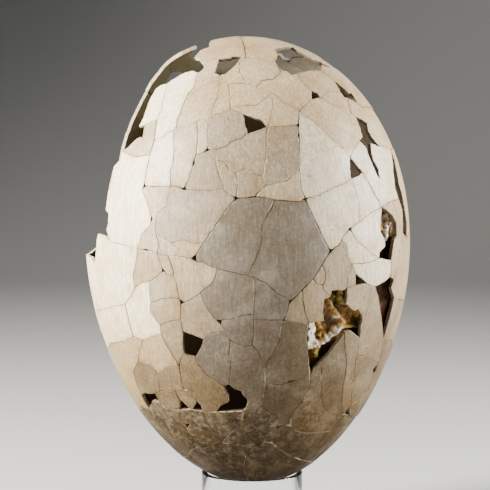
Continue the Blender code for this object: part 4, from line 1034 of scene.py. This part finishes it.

# The inner face: tints of its membrane (plain and dried), of its near-black painted shade, and of its pale
# and olive painted light, and where the shade, the pale light and the olive lie
INNER_BROWN = ((0.150, 0.104, 0.057), (0.098, 0.066, 0.035))
INNER_PAINTED_LIGHT = ((0.90, 0.82, 0.66), (0.66, 0.58, 0.43))
INNER_PAINTED_SHADE = (0.028, 0.018, 0.010)
INNER_PAINTED_LIGHT_OLIVE = (0.50, 0.44, 0.265)
PAINTED_SHADE_ACROSS = (0.0, 0.045)
OLIVE_ACROSS = (-0.014, -0.034)
CROWN_HEIGHTS = (0.241, 0.258)
LIMB_ACROSS = (-0.020, -0.035)
LIMB_BEHIND = (0.050, 0.034)
LIMB_HEIGHTS = (0.16, 0.18)


class Nodes:
    """A short way to write a node tree: each step adds a node and gives its output."""

    def __init__(self, tree):
        self.tree = tree

    def fill(self, socket, value):
        """Join a socket to another node's output, or set it."""
        if isinstance(value, bpy.types.NodeSocket):
            self.tree.links.new(value, socket)
        else:
            socket.default_value = value

    def add(self, kind, values=None, **settings):
        """A node with its properties and its inputs."""
        node = self.tree.nodes.new(kind)
        for key, value in settings.items():
            setattr(node, key, value)
        for key, value in (values or {}).items():
            self.fill(node.inputs[key], value)
        return node

    def math(self, operation, a, b=0.0):
        """One arithmetic step."""
        return self.add("ShaderNodeMath", {0: a, 1: b}, operation=operation).outputs[0]

    def times(self, a, b):
        """The product of two values."""
        return self.math("MULTIPLY", a, b)

    def between(self, value, low, high, to_low=0.0, to_high=1.0):
        """Carry a value from one range smoothly to another."""
        return self.add("ShaderNodeMapRange", {"Value": value, "From Min": low, "From Max": high,
                                               "To Min": to_low, "To Max": to_high},
                        interpolation_type="SMOOTHSTEP").outputs[0]

    def place(self, stretch=(1.0, 1.0, 1.0)):
        """Object coordinates, stretched."""
        place = self.add("ShaderNodeTexCoord").outputs["Object"]
        return self.add("ShaderNodeMapping", {"Vector": place, "Scale": stretch}).outputs[0]

    def split_place(self):
        """The place to the right, backwards and up from the floor, in metres."""
        return self.add("ShaderNodeSeparateXYZ", {0: self.place()}).outputs

    def noise(self, name, stretch=(1.0, 1.0, 1.0)):
        """One of the noises, mostly between 0.3 and 0.7."""
        scale, detail, roughness = NOISES[name]
        return self.add("ShaderNodeTexNoise", {"Vector": self.place(stretch), "Scale": scale,
                                               "Detail": detail, "Roughness": roughness}).outputs["Fac"]

    def mix(self, share, a, b, blend="MIX"):
        """Mix two colours."""
        node = self.add("ShaderNodeMix", {"Factor": share}, data_type="RGBA", blend_type=blend)
        for socket, value in ((node.inputs[6], a), (node.inputs[7], b)):
            self.fill(socket, (*value, 1.0) if isinstance(value, tuple) else value)
        return node.outputs[2]

    def cover(self, share, colour, name):
        """Lay a share of a covering colour over another."""
        return self.mix(share, colour, COVERS[name])

    def wash(self, share, colour, name):
        """Darken a colour by a share of a wash."""
        return self.mix(share, colour, WASHES[name], "MULTIPLY")

    def attribute(self, name, field="Fac"):
        """What a mesh says about its corners."""
        return self.add("ShaderNodeAttribute", attribute_name=name).outputs[field]

    def bump(self, shader, strength, distance, height):
        """Roughen a shader's surface."""
        bump = self.add("ShaderNodeBump", {"Strength": strength, "Distance": distance, "Height": height})
        self.fill(shader.inputs["Normal"], bump.outputs[0])


def weathering_group():
    """Blotches, grain, pores and fine grooves along the egg, as masks and a height."""
    group = bpy.data.node_groups.new("shell_weathering", "ShaderNodeTree")
    for label in ("Pore share", "Groove depth"):
        group.interface.new_socket(label, in_out="INPUT", socket_type="NodeSocketFloat").default_value = 0.5
    for label in ("Blotch", "Grain", "Pores", "Grooves", "Height"):
        group.interface.new_socket(label, in_out="OUTPUT", socket_type="NodeSocketFloat")
    nodes = Nodes(group)
    given = nodes.add("NodeGroupInput").outputs
    grain, grooves = nodes.noise("grain"), nodes.noise("grooves", GROOVE_STRETCH)
    cells = nodes.add("ShaderNodeTexVoronoi", {"Vector": nodes.place(PORE_STRETCH), "Scale": PORE_CELLS})
    cells = cells.outputs
    size = nodes.add("ShaderNodeSeparateColor", {0: cells["Color"]}).outputs
    spot = nodes.math("SUBTRACT", cells["Distance"], nodes.times(size[1], PORE_VARIETY))
    pores = nodes.times(nodes.between(spot, *PORE_EDGE, 1.0, 0.0),
                        nodes.math("LESS_THAN", size[0], given["Pore share"]))
    height = nodes.math("ADD", grain, nodes.times(grooves, given["Groove depth"]))
    height = nodes.math("SUBTRACT", height, nodes.times(pores, 0.9))
    nodes.add("NodeGroupOutput", {"Blotch": nodes.noise("blotch"), "Grain": grain, "Pores": pores,
                                  "Grooves": grooves, "Height": height})
    return group


def new_material(name):
    """A material, the writer of its tree, and its Principled shader."""
    made = bpy.data.materials.new(name)
    made.use_nodes = True
    return made, Nodes(made.node_tree), made.node_tree.nodes["Principled BSDF"]


def shell_outside(weathering):
    """The outer face: the fragment's tint, blotched, grained and pored, darker lower down partly as painted
    shade, dark or glued along its cracks.
    """
    made, nodes, shader = new_material("shell_outside")
    wear, rim, up = nodes.attribute("tint", "Alpha"), nodes.attribute("rim"), nodes.split_place()[2]
    masks = nodes.add("ShaderNodeGroup", node_tree=weathering)
    nodes.fill(masks.inputs["Pore share"], nodes.between(wear, 0.0, 1.0, 0.10, 0.42))
    nodes.fill(masks.inputs["Groove depth"], 0.9)
    masks = masks.outputs
    stain, patches = nodes.noise("stain"), nodes.noise("patches")

    # Blotches, stains and grain over the fragment's own tint
    colour = nodes.attribute("tint", "Color")
    colour = nodes.cover(nodes.between(masks["Blotch"], 0.50, 0.70, 0.0, 0.17), colour, "blotch")
    colour = nodes.wash(nodes.between(masks["Blotch"], 0.52, 0.34, 0.0, 0.60), colour, "blotch")
    colour = nodes.wash(nodes.between(stain, 0.50, 0.66, 0.0, 0.45), colour, "stain")
    colour = nodes.wash(nodes.between(masks["Grain"], 0.62, 0.34, 0.0, 0.50), colour, "grain")
    crumbs = nodes.times(nodes.between(masks["Grain"], 0.54, 0.70), nodes.between(wear, 0.0, 1.0, 0.07, 0.12))
    colour = nodes.cover(crumbs, colour, "crumbs")
    colour = nodes.wash(nodes.between(masks["Grooves"], 0.57, 0.42, 0.0, 0.55), colour, "grooves")

    # Browner and darker lower down, partly its own colour and partly painted shade, with pores, crazing and a
    # crust where the shell is worn
    lower_tone_and_shade = nodes.between(nodes.math("ADD", up, nodes.times(stain, STAIN_RISE)), *LOW_HEIGHTS, 1.0, 0.0)
    colour = nodes.wash(lower_tone_and_shade, colour, "low")
    colour = nodes.wash(nodes.times(masks["Pores"], 0.8), colour, "pores")
    veins = nodes.math("ABSOLUTE", nodes.math("SUBTRACT", nodes.noise("veins"), 0.5))
    crazed = nodes.times(nodes.between(veins, 0.010, 0.060, 1.0, 0.0),
                         nodes.times(wear, nodes.between(nodes.noise("crazed"), 0.44, 0.54)))
    colour = nodes.wash(nodes.times(crazed, 0.80), colour, "crazing")
    crust = nodes.times(wear, nodes.between(nodes.noise("crust"), 0.46, 0.70, 0.0, 0.55))
    colour = nodes.cover(crust, colour, "crust")
    # Darker still towards the foot: partly its own colour, partly painted shade
    colour = nodes.wash(nodes.between(up, *FOOT_HEIGHTS, 1.0, 0.0), colour, "foot")

    # Dirt, its halo and glue along the cracks
    dirt = nodes.times(nodes.between(rim, *DIRT_FADE, 1.0, 0.0),
                       nodes.between(patches, *DIRT_PATCHES, 0.85, 0.05))
    dirt = nodes.times(dirt, nodes.between(up, *CLEAN_HEIGHTS, 1.0, 0.40))
    colour = nodes.cover(dirt, colour, "dirt")
    halo = nodes.times(nodes.between(rim, *HALO_FADE, 1.0, 0.0),
                       nodes.between(patches, *DIRT_PATCHES, 0.0, 0.35))
    colour = nodes.wash(halo, colour, "halo")
    filled = nodes.times(nodes.between(rim, *GLUE_FADE, 1.0, 0.0), nodes.between(patches, 0.55, 0.63))
    filled = nodes.math("MAXIMUM", nodes.between(nodes.attribute("glue"), *GLUED_FADE, 1.0, 0.0), filled)
    filled = nodes.times(filled, nodes.between(nodes.noise("filling"), 0.38, 0.55))
    colour = nodes.cover(nodes.times(filled, 0.60), colour, "glue")

    nodes.fill(shader.inputs["Base Color"], colour)
    nodes.fill(shader.inputs["Roughness"], nodes.between(masks["Blotch"], 0.35, 0.65, 0.62, 0.46))
    nodes.fill(shader.inputs["Specular IOR Level"], nodes.between(up, *MATT_HEIGHTS, 0.08, 0.5))
    height = nodes.math("SUBTRACT", nodes.math("ADD", masks["Height"], crust), nodes.times(crazed, 1.5))
    nodes.bump(shader, 0.5, 0.00012, height)
    return made


def shell_broken(weathering):
    """The broken edge: brown with old dirt, and paler round the large opening."""
    made, nodes, shader = new_material("shell_broken")
    masks = nodes.add("ShaderNodeGroup", node_tree=weathering).outputs
    fresh = nodes.cover(0.5, nodes.attribute("tint", "Color"), "fresh")
    colour = nodes.mix(nodes.attribute("fresh"), COVERS["edge"], fresh)
    colour = nodes.wash(nodes.between(masks["Grain"], 0.58, 0.38, 0.0, 0.7), colour, "edge grain")
    nodes.fill(shader.inputs["Base Color"], colour)
    shader.inputs["Roughness"].default_value = 0.7
    nodes.bump(shader, 0.6, 0.0002, masks["Height"])
    return made


def shell_inside(weathering):
    """The inner face: brown with dried membrane, dirty along cracks, and near black on the right as painted
    shade.

    It is painted pale as light in the crown and at the edge of the large opening, and olive on the left of
    these.
    """
    made, nodes, shader = new_material("shell_inside")
    masks = nodes.add("ShaderNodeGroup", node_tree=weathering).outputs
    across, behind, up = nodes.split_place()
    membrane = nodes.between(nodes.noise("membrane"), 0.44, 0.62)
    # Painted light: pale in the crown and at the limb of the large opening, olive on the left of these
    limb = nodes.times(nodes.between(behind, *LIMB_BEHIND), nodes.between(up, *LIMB_HEIGHTS))
    limb = nodes.times(nodes.between(across, *LIMB_ACROSS), limb)
    crown = nodes.math("MAXIMUM", nodes.between(up, *CROWN_HEIGHTS), limb)
    brown = nodes.mix(membrane, *INNER_BROWN)
    # Painted shade: the inner face turns near black towards the right
    brown = nodes.mix(nodes.between(across, *PAINTED_SHADE_ACROSS, 0.0, 0.94), brown, INNER_PAINTED_SHADE)
    pale = nodes.mix(nodes.between(across, *OLIVE_ACROSS), nodes.mix(membrane, *INNER_PAINTED_LIGHT), INNER_PAINTED_LIGHT_OLIVE)
    colour = nodes.mix(crown, brown, pale)
    colour = nodes.wash(nodes.between(masks["Grain"], 0.62, 0.36, 0.0, 0.5), colour, "inner grain")
    dirt = nodes.times(nodes.between(nodes.attribute("rim"), *INNER_FADE, 0.6, 0.0),
                       nodes.between(crown, 0.0, 1.0, 1.0, 0.2))
    colour = nodes.cover(dirt, colour, "inner dirt")
    nodes.fill(shader.inputs["Base Color"], colour)
    nodes.fill(shader.inputs["Roughness"], nodes.between(membrane, 0.0, 1.0, 0.80, 0.60))
    shader.inputs["Specular IOR Level"].default_value = 0.2
    nodes.bump(shader, 0.4, 0.0003, masks["Height"])
    return made


# Crumpled film: degrees round from the front to the right, heights, grid, thickness and edge crease
FILM_AZIMUTH = (14.0, 76.0)
FILM_HEIGHT = (-0.078, 0.030)
FILM_COLUMNS = 150
FILM_ROWS = 256
FILM_THICKNESS = 0.00012
FILM_CREASE = 24.0

# Where it lies smooth and dull behind the shell, painted dark brown as shade: degrees round, below a height,
# and its depth there
FILM_CALM = (57.0, 63.0)
FILM_CALM_BELOW = 0.002
FILM_CALM_OVER = 0.0050
FILM_CALM_DEPTH = 0.0036
FILM_CALMED = 0.75
FILM_END = (60.0, 61.5)

# Depths under the egg's outside: where the folds are looked up, and the nearest and deepest place
FILM_SEEN_DEPTH = 0.0050
FILM_NEAREST = 0.0030
FILM_NEAREST_CRUMPLE = 0.0006
FILM_DEEP = 0.0110

# Crumpling: its depth, its sizes (fineness and share) and how it strays sideways (fineness, share, seeds)
FILM_CRUMPLE = 0.0050
CRUMPLES = ((330.0, 1.0), (800.0, 0.45), (1900.0, 0.2))
CRUMPLE_SEED = 60
FILM_STRAY = 0.0008
STRAY_COARSE = 900.0
STRAY_FINE = 2300.0
STRAY_FINE_SHARE = 0.6
STRAY_SEEDS = (50, 51, 52)
FINE_SEED_STEP = 10

# Its edge: a rounded rectangle, moved in by waves except at the top
EDGE_POWER = 6
FILM_LEAST = 0.90
EDGE_WAVES = (0.5, 160.0, 54)
EDGE_TOP = 0.6

# Tints of the film: the brown is painted shade where it lies behind the shell, and the white is a painted
# highlight on crests and at glints
FILM_TINTS = {
    "amber": (0.082, 0.034, 0.004),
    "brown": (0.034, 0.017, 0.009),
    "gold": (0.33, 0.190, 0.044),
    "olive": (0.25, 0.205, 0.045),
    "pale": (0.66, 0.59, 0.45),
    "painted_highlight": (0.88, 0.82, 0.68),
}

# Folds of the film: the line of each crest, half its width, its rise and its tint. The whitish crests are
# painted highlights, and the pale ones partly so.
FOLDS = [
    (front((309, 319), (312, 330), (311, 350)), 0.0031, 0.0066, "painted_highlight"),
    (front((313, 346), (315, 354), (316, 361)), 0.0021, 0.0058, "olive"),
    (front((319, 349), (329, 341), (341, 331)), 0.0032, 0.0046, "pale"),
    (front((329, 303), (336, 315), (344, 330)), 0.0019, 0.0046, "gold"),
    (front((322, 287), (330, 293), (334, 300)), 0.0018, 0.0040, "olive"),
    (front((342, 289), (341, 301), (349, 309)), 0.0018, 0.0048, "olive"),
    (front((350, 307), (358, 316), (361, 327)), 0.0015, 0.0048, "gold"),
    (front((344, 331), (352, 329), (360, 333)), 0.0016, 0.0036, "olive"),
    (front((318, 324), (321, 332), (322, 342)), 0.0011, 0.0022, "gold"),
    (front((385, 209), (387, 222), (384, 246)), 0.0016, 0.0050, "painted_highlight"),
]
FOLD_WAVER = (0.45, 1500.0, 53)
# Painted highlights: white spots in the film's colour
GLINTS = np.array(front((332, 306), (334, 308), (337, 321), (347, 303), (311, 330), (312, 345), (330, 341),
                        (389, 302), (384, 218), (384, 230)))
GLINT_REACH = 0.0011


def creases(places, scale, seed):
    """Crumpling between 0 and 1: the mean of a few triangle waves in seeded directions."""
    rng = np.random.default_rng(seed)
    waves = seeded_waves(rng, CREASE_WAVES)
    turn = places @ waves.T * scale + rng.uniform(0.0, 2.0 * math.pi, CREASE_WAVES)
    return np.abs((turn / math.pi) % 2.0 - 1.0).mean(axis=1)


def rising(values, span):
    """How far values have come from a span's start to its end, between 0 and 1."""
    return unit((values - span[0]) / (span[1] - span[0]))


def blend(colours, share, tint):
    """Colours with a share of a tint in each."""
    return colours + share[:, None] * (tint - colours)


def film_surface():
    """A crumpled sheet inside the shell: its corners, its faces, and a colour for each corner.

    Depth below the egg is the deepest one, less every fold as a tent of its width and rise, and less
    crumpling of three sizes. To the right the sheet lies smooth behind the shell, and its colour there is
    painted dark brown as shade. The folds are looked up where the sheet is seen, which is further left by
    its depth times the tangent of its turn. Whitish fold crests and the glints are painted highlights. The
    sheet's edge is a rounded rectangle moved in by waves. A colour's fourth number is its gloss.
    """
    azimuth, height = [a.ravel() for a in np.meshgrid(np.linspace(*FILM_AZIMUTH, FILM_COLUMNS),
                                                      np.linspace(*FILM_HEIGHT, FILM_ROWS))]
    turn = np.radians(azimuth)
    looked = turn - FILM_SEEN_DEPTH / egg_radius(height) * np.tan(turn)
    surface, strayed = round_egg(turn, height), round_egg(looked, height)
    strayed += FILM_STRAY * np.column_stack([
        ripple(surface, STRAY_COARSE, seed)
        + STRAY_FINE_SHARE * ripple(surface, STRAY_FINE, seed + FINE_SEED_STEP)
        for seed in STRAY_SEEDS])
    crumple = sum(share * creases(strayed, scale, CRUMPLE_SEED + i)
                  for i, (scale, share) in enumerate(CRUMPLES))
    smooth_and_shaded = rising(azimuth, FILM_CALM) * unit((FILM_CALM_BELOW - height) / FILM_CALM_OVER)
    smooth_and_shaded = np.maximum(smooth_and_shaded, rising(np.degrees(looked), FILM_END))
    crumple *= 1.0 - FILM_CALMED * smooth_and_shaded

    tints = {name: np.array(tint) for name, tint in FILM_TINTS.items()}
    colour = blend(tints["amber"], np.clip(1.5 * crumple - 1.05, 0.0, 0.7), tints["gold"])
    # Painted shade: brown where the film lies smooth behind the shell
    colour = blend(colour, smooth_and_shaded, tints["brown"])
    rise = np.zeros(len(surface))
    waver = 0.75 + FOLD_WAVER[0] * ripple(surface, *FOLD_WAVER[1:])
    for line, width, crest, tint in FOLDS:
        near = unit(1.0 - line_distance(strayed, *line_pieces([line])) / width)
        rise = np.maximum(rise, crest * near)
        colour = blend(colour, np.clip(2.5 * near, 0.0, 0.85), tints["gold"])
        # Whitish crest tints are painted highlights, and pale ones partly so
        colour = blend(colour, unit(3.4 * (near - 0.25) * waver), tints[tint])
    # Painted highlights: white spots at the glints
    glint = nearest(strayed, GLINTS) / GLINT_REACH
    colour = blend(colour, np.exp(-glint * glint), tints["painted_highlight"])

    depth = np.maximum(FILM_DEEP - rise - FILM_CRUMPLE * crumple,
                       FILM_NEAREST + FILM_NEAREST_CRUMPLE * crumple)
    depth += smooth_and_shaded * (FILM_CALM_DEPTH - depth)
    places = surface - depth[:, None] * outward(surface)
    across, up = [(a - 0.5 * (a.min() + a.max())) / np.ptp(a) * 2.0 for a in (azimuth, height)]
    edge = (across ** EDGE_POWER + up ** EDGE_POWER) ** (1.0 / EDGE_POWER)
    waved = unit(0.5 + EDGE_WAVES[0] * ripple(surface, *EDGE_WAVES[1:]) + EDGE_TOP * up)
    kept = edge < FILM_LEAST + (1.0 - FILM_LEAST) * waved
    faces = grid_faces(FILM_ROWS, FILM_COLUMNS)
    faces = faces[kept[faces].all(axis=1)]
    used, renumbered = np.unique(faces, return_inverse=True)
    return places[used], renumbered.reshape(-1, 4).tolist(), np.column_stack([colour, 1.0 - smooth_and_shaded])[used]


def grid_faces(rows, columns):
    """The faces of a grid of corners that are numbered row by row."""
    first = (np.arange(rows - 1)[:, None] * columns + np.arange(columns - 1)).ravel()
    return np.column_stack([first, first + 1, first + columns + 1, first + columns])


def amber_film():
    """Glossy film in the tints of its folds: deep amber, gold, olive and whitish, a little clouded, with pale
    speckles painted as glints on its glossy part.
    """
    made, nodes, shader = new_material("amber_film")
    cloud, gloss = nodes.noise("cloud"), nodes.attribute("tint", "Alpha")
    colour = nodes.mix(nodes.between(cloud, 0.52, 0.36, 0.0, 0.85), nodes.attribute("tint", "Color"),
                       (0.34, 0.20, 0.06), "MULTIPLY")
    # Painted glints: pale speckles where the film is glossy
    painted_glints = nodes.times(gloss, nodes.between(cloud, 0.58, 0.70, 0.0, 0.12))
    nodes.fill(shader.inputs["Base Color"], nodes.mix(painted_glints, colour, (0.80, 0.73, 0.58)))
    nodes.fill(shader.inputs["Specular IOR Level"], nodes.times(gloss, 0.16))
    nodes.fill(shader.inputs["Roughness"], nodes.between(gloss, 0.0, 1.0, 0.65, 0.26))
    nodes.fill(shader.inputs["Coat Weight"], nodes.times(gloss, 0.09))
    shader.inputs["IOR"].default_value = 1.42
    shader.inputs["Coat Roughness"].default_value = 0.12
    nodes.bump(shader, 0.4, 0.0003, nodes.noise("crinkle"))
    return made


def add_film():
    """The film as a thin sheet."""
    places, faces, tints = film_surface()
    piece = add_mesh("crumpled_film", leaning(places), faces, [amber_film()], None, FILM_CREASE)
    add_attribute(piece, "tint", tints)
    sheet = piece.modifiers.new("sheet", "SOLIDIFY")
    sheet.thickness = FILM_THICKNESS
    sheet.offset = -1.0
    ride(piece, "lining_film")


# Tube: its wall, the rounding of its rims, its fineness, and where its faces meet in an edge
TUBE_WALL = 0.003
TUBE_EASE = 0.0005
EASE_STEPS = 6
TUBE_TURNS = 192
TUBE_CREASE = 50.0


def clear_acrylic():
    """Polished clear acrylic, a little scuffed."""
    made, nodes, shader = new_material("clear_acrylic")
    shader.inputs["Base Color"].default_value = (0.96, 0.975, 0.97, 1.0)
    shader.inputs["Transmission Weight"].default_value = 1.0
    shader.inputs["IOR"].default_value = 1.49
    scuffs = nodes.noise("crinkle", SCUFF_STRETCH)
    nodes.fill(shader.inputs["Roughness"], nodes.between(scuffs, 0.45, 0.72, 0.01, 0.12))
    nodes.bump(shader, 0.05, 0.0001, nodes.noise("waver"))
    return made


def add_tube():
    """The short tube: a section with quarter-circle corners turned about its upright axis."""
    low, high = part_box("stand_tube")
    axis, outer = 0.5 * (low[0] + high[0]), 0.5 * (high[0] - low[0])
    right, left = outer - TUBE_EASE, outer - TUBE_WALL + TUBE_EASE
    bottom, top = low[2] + TUBE_EASE, high[2] - TUBE_EASE
    section = []
    for x, z, start in ((right, bottom, -90.0), (right, top, 0.0), (left, top, 90.0), (left, bottom, 180.0)):
        angle = np.radians(np.linspace(start, start + 90.0, EASE_STEPS))
        section.append(np.column_stack([x + TUBE_EASE * np.cos(angle), z + TUBE_EASE * np.sin(angle)]))
    section = np.vstack(section)
    turn = np.linspace(0.0, 2.0 * math.pi, TUBE_TURNS, endpoint=False)[:, None]
    places = np.stack([axis + np.cos(turn) * section[:, 0], np.sin(turn) * section[:, 0],
                       np.broadcast_to(section[:, 1], (TUBE_TURNS, len(section)))], axis=2).reshape(-1, 3)
    lap = np.arange(TUBE_TURNS)[:, None] * len(section)
    here = (lap + np.arange(len(section))).ravel()
    beside = (lap + (np.arange(len(section)) + 1) % len(section)).ravel()
    faces = np.column_stack([here, here + len(section), beside + len(section), beside]) % len(places)
    piece = add_mesh("acrylic_tube", places, faces.tolist(), [clear_acrylic()], None, TUBE_CREASE)
    ride(piece, "stand_tube")


# Floor: its colour, its front part, where it bends up and how tightly, how high it goes, and its width
FLOOR_COLOUR = (0.42, 0.42, 0.41, 1.0)
FLOOR_FRONT = (-2.2, -1.0, 0.0)
BACKDROP_START = 1.2
BACKDROP_BEND = 0.8
BACKDROP_TOP = 2.6
BEND_STEPS = 18
FLOOR_SIDE = 3.0
FLOOR_COLUMNS = 8


def add_floor():
    """A pale floor that curves up into a plain backdrop: one profile carried sideways."""
    made, nodes, shader = new_material("studio_paper")
    shader.inputs["Base Color"].default_value = FLOOR_COLOUR
    shader.inputs["Roughness"].default_value = 0.9
    bend = np.linspace(0.0, 0.5 * math.pi, BEND_STEPS)
    along = np.concatenate([FLOOR_FRONT, BACKDROP_START + BACKDROP_BEND * np.sin(bend),
                            [BACKDROP_START + BACKDROP_BEND]])
    up = np.concatenate([np.zeros(len(FLOOR_FRONT)), BACKDROP_BEND - BACKDROP_BEND * np.cos(bend),
                         [BACKDROP_TOP]])
    across = np.linspace(-FLOOR_SIDE, FLOOR_SIDE, FLOOR_COLUMNS)
    places = np.stack([np.repeat(across, len(along)), np.tile(along, FLOOR_COLUMNS),
                       np.tile(up, FLOOR_COLUMNS)], axis=1)
    faces = grid_faces(FLOOR_COLUMNS, len(along))[:, [0, 3, 2, 1]]
    add_mesh("floor", places, faces.tolist(), [made])


# Lights: place, side length, power and colour
LIGHTS = {
    "left_light": ((-1.02, -0.30, 0.62), 0.35, 32.0, (1.0, 0.97, 0.91)),
    "right_light": ((1.0, -0.02, 0.46), 0.40, 15.0, (1.0, 0.99, 0.97)),
    "front_light": ((-0.5, -1.1, 1.0), 0.60, 1.6, (1.0, 0.98, 0.94)),
}
LIGHT_SPREAD = math.radians(110.0)
SKY_COLOUR = (0.92, 0.94, 1.0, 1.0)
SKY_STRENGTH = 0.10


def add_lights():
    """A strong light from the left, a softer one from the right, a faint one in front, and a faint sky."""
    for name, (place, size, power, colour) in LIGHTS.items():
        lamp = bpy.data.lights.new(name, "AREA")
        lamp.size = size
        lamp.energy = power
        lamp.color = colour
        lamp.spread = LIGHT_SPREAD
        light = add_object(name, lamp)
        light.location = place
        light.rotation_euler = (Vector(EGG_CENTRE) - Vector(place)).to_track_quat("-Z", "Y").to_euler()
    world = bpy.data.worlds.new("studio")
    world.use_nodes = True
    world.node_tree.nodes["Background"].inputs["Color"].default_value = SKY_COLOUR
    world.node_tree.nodes["Background"].inputs["Strength"].default_value = SKY_STRENGTH
    bpy.context.scene.world = world


def add_camera():
    """The photograph's view: from the front and a little above."""
    lens = bpy.data.cameras.new("camera")
    camera = add_object("camera", lens)
    lens.sensor_width = SENSOR_WIDTH
    lens.lens = VIEW_DISTANCE / METRES_PER_PIXEL * SENSOR_WIDTH / PHOTO_SIZE
    sight = Vector(SIGHT)
    camera.location = Vector(EGG_CENTRE) - VIEW_DISTANCE * sight
    camera.rotation_euler = sight.to_track_quat("-Z", "Y").to_euler()
    lens.shift_x = (0.5 * PHOTO_SIZE - EGG_CENTRE_PIXEL[0]) / PHOTO_SIZE
    lens.shift_y = (EGG_CENTRE_PIXEL[1] - 0.5 * PHOTO_SIZE) / PHOTO_SIZE
    bpy.context.scene.camera = camera


weathering = weathering_group()
add_shell([shell_outside(weathering), shell_inside(weathering), shell_broken(weathering)])
add_film()
add_tube()
add_floor()
add_lights()
add_camera()
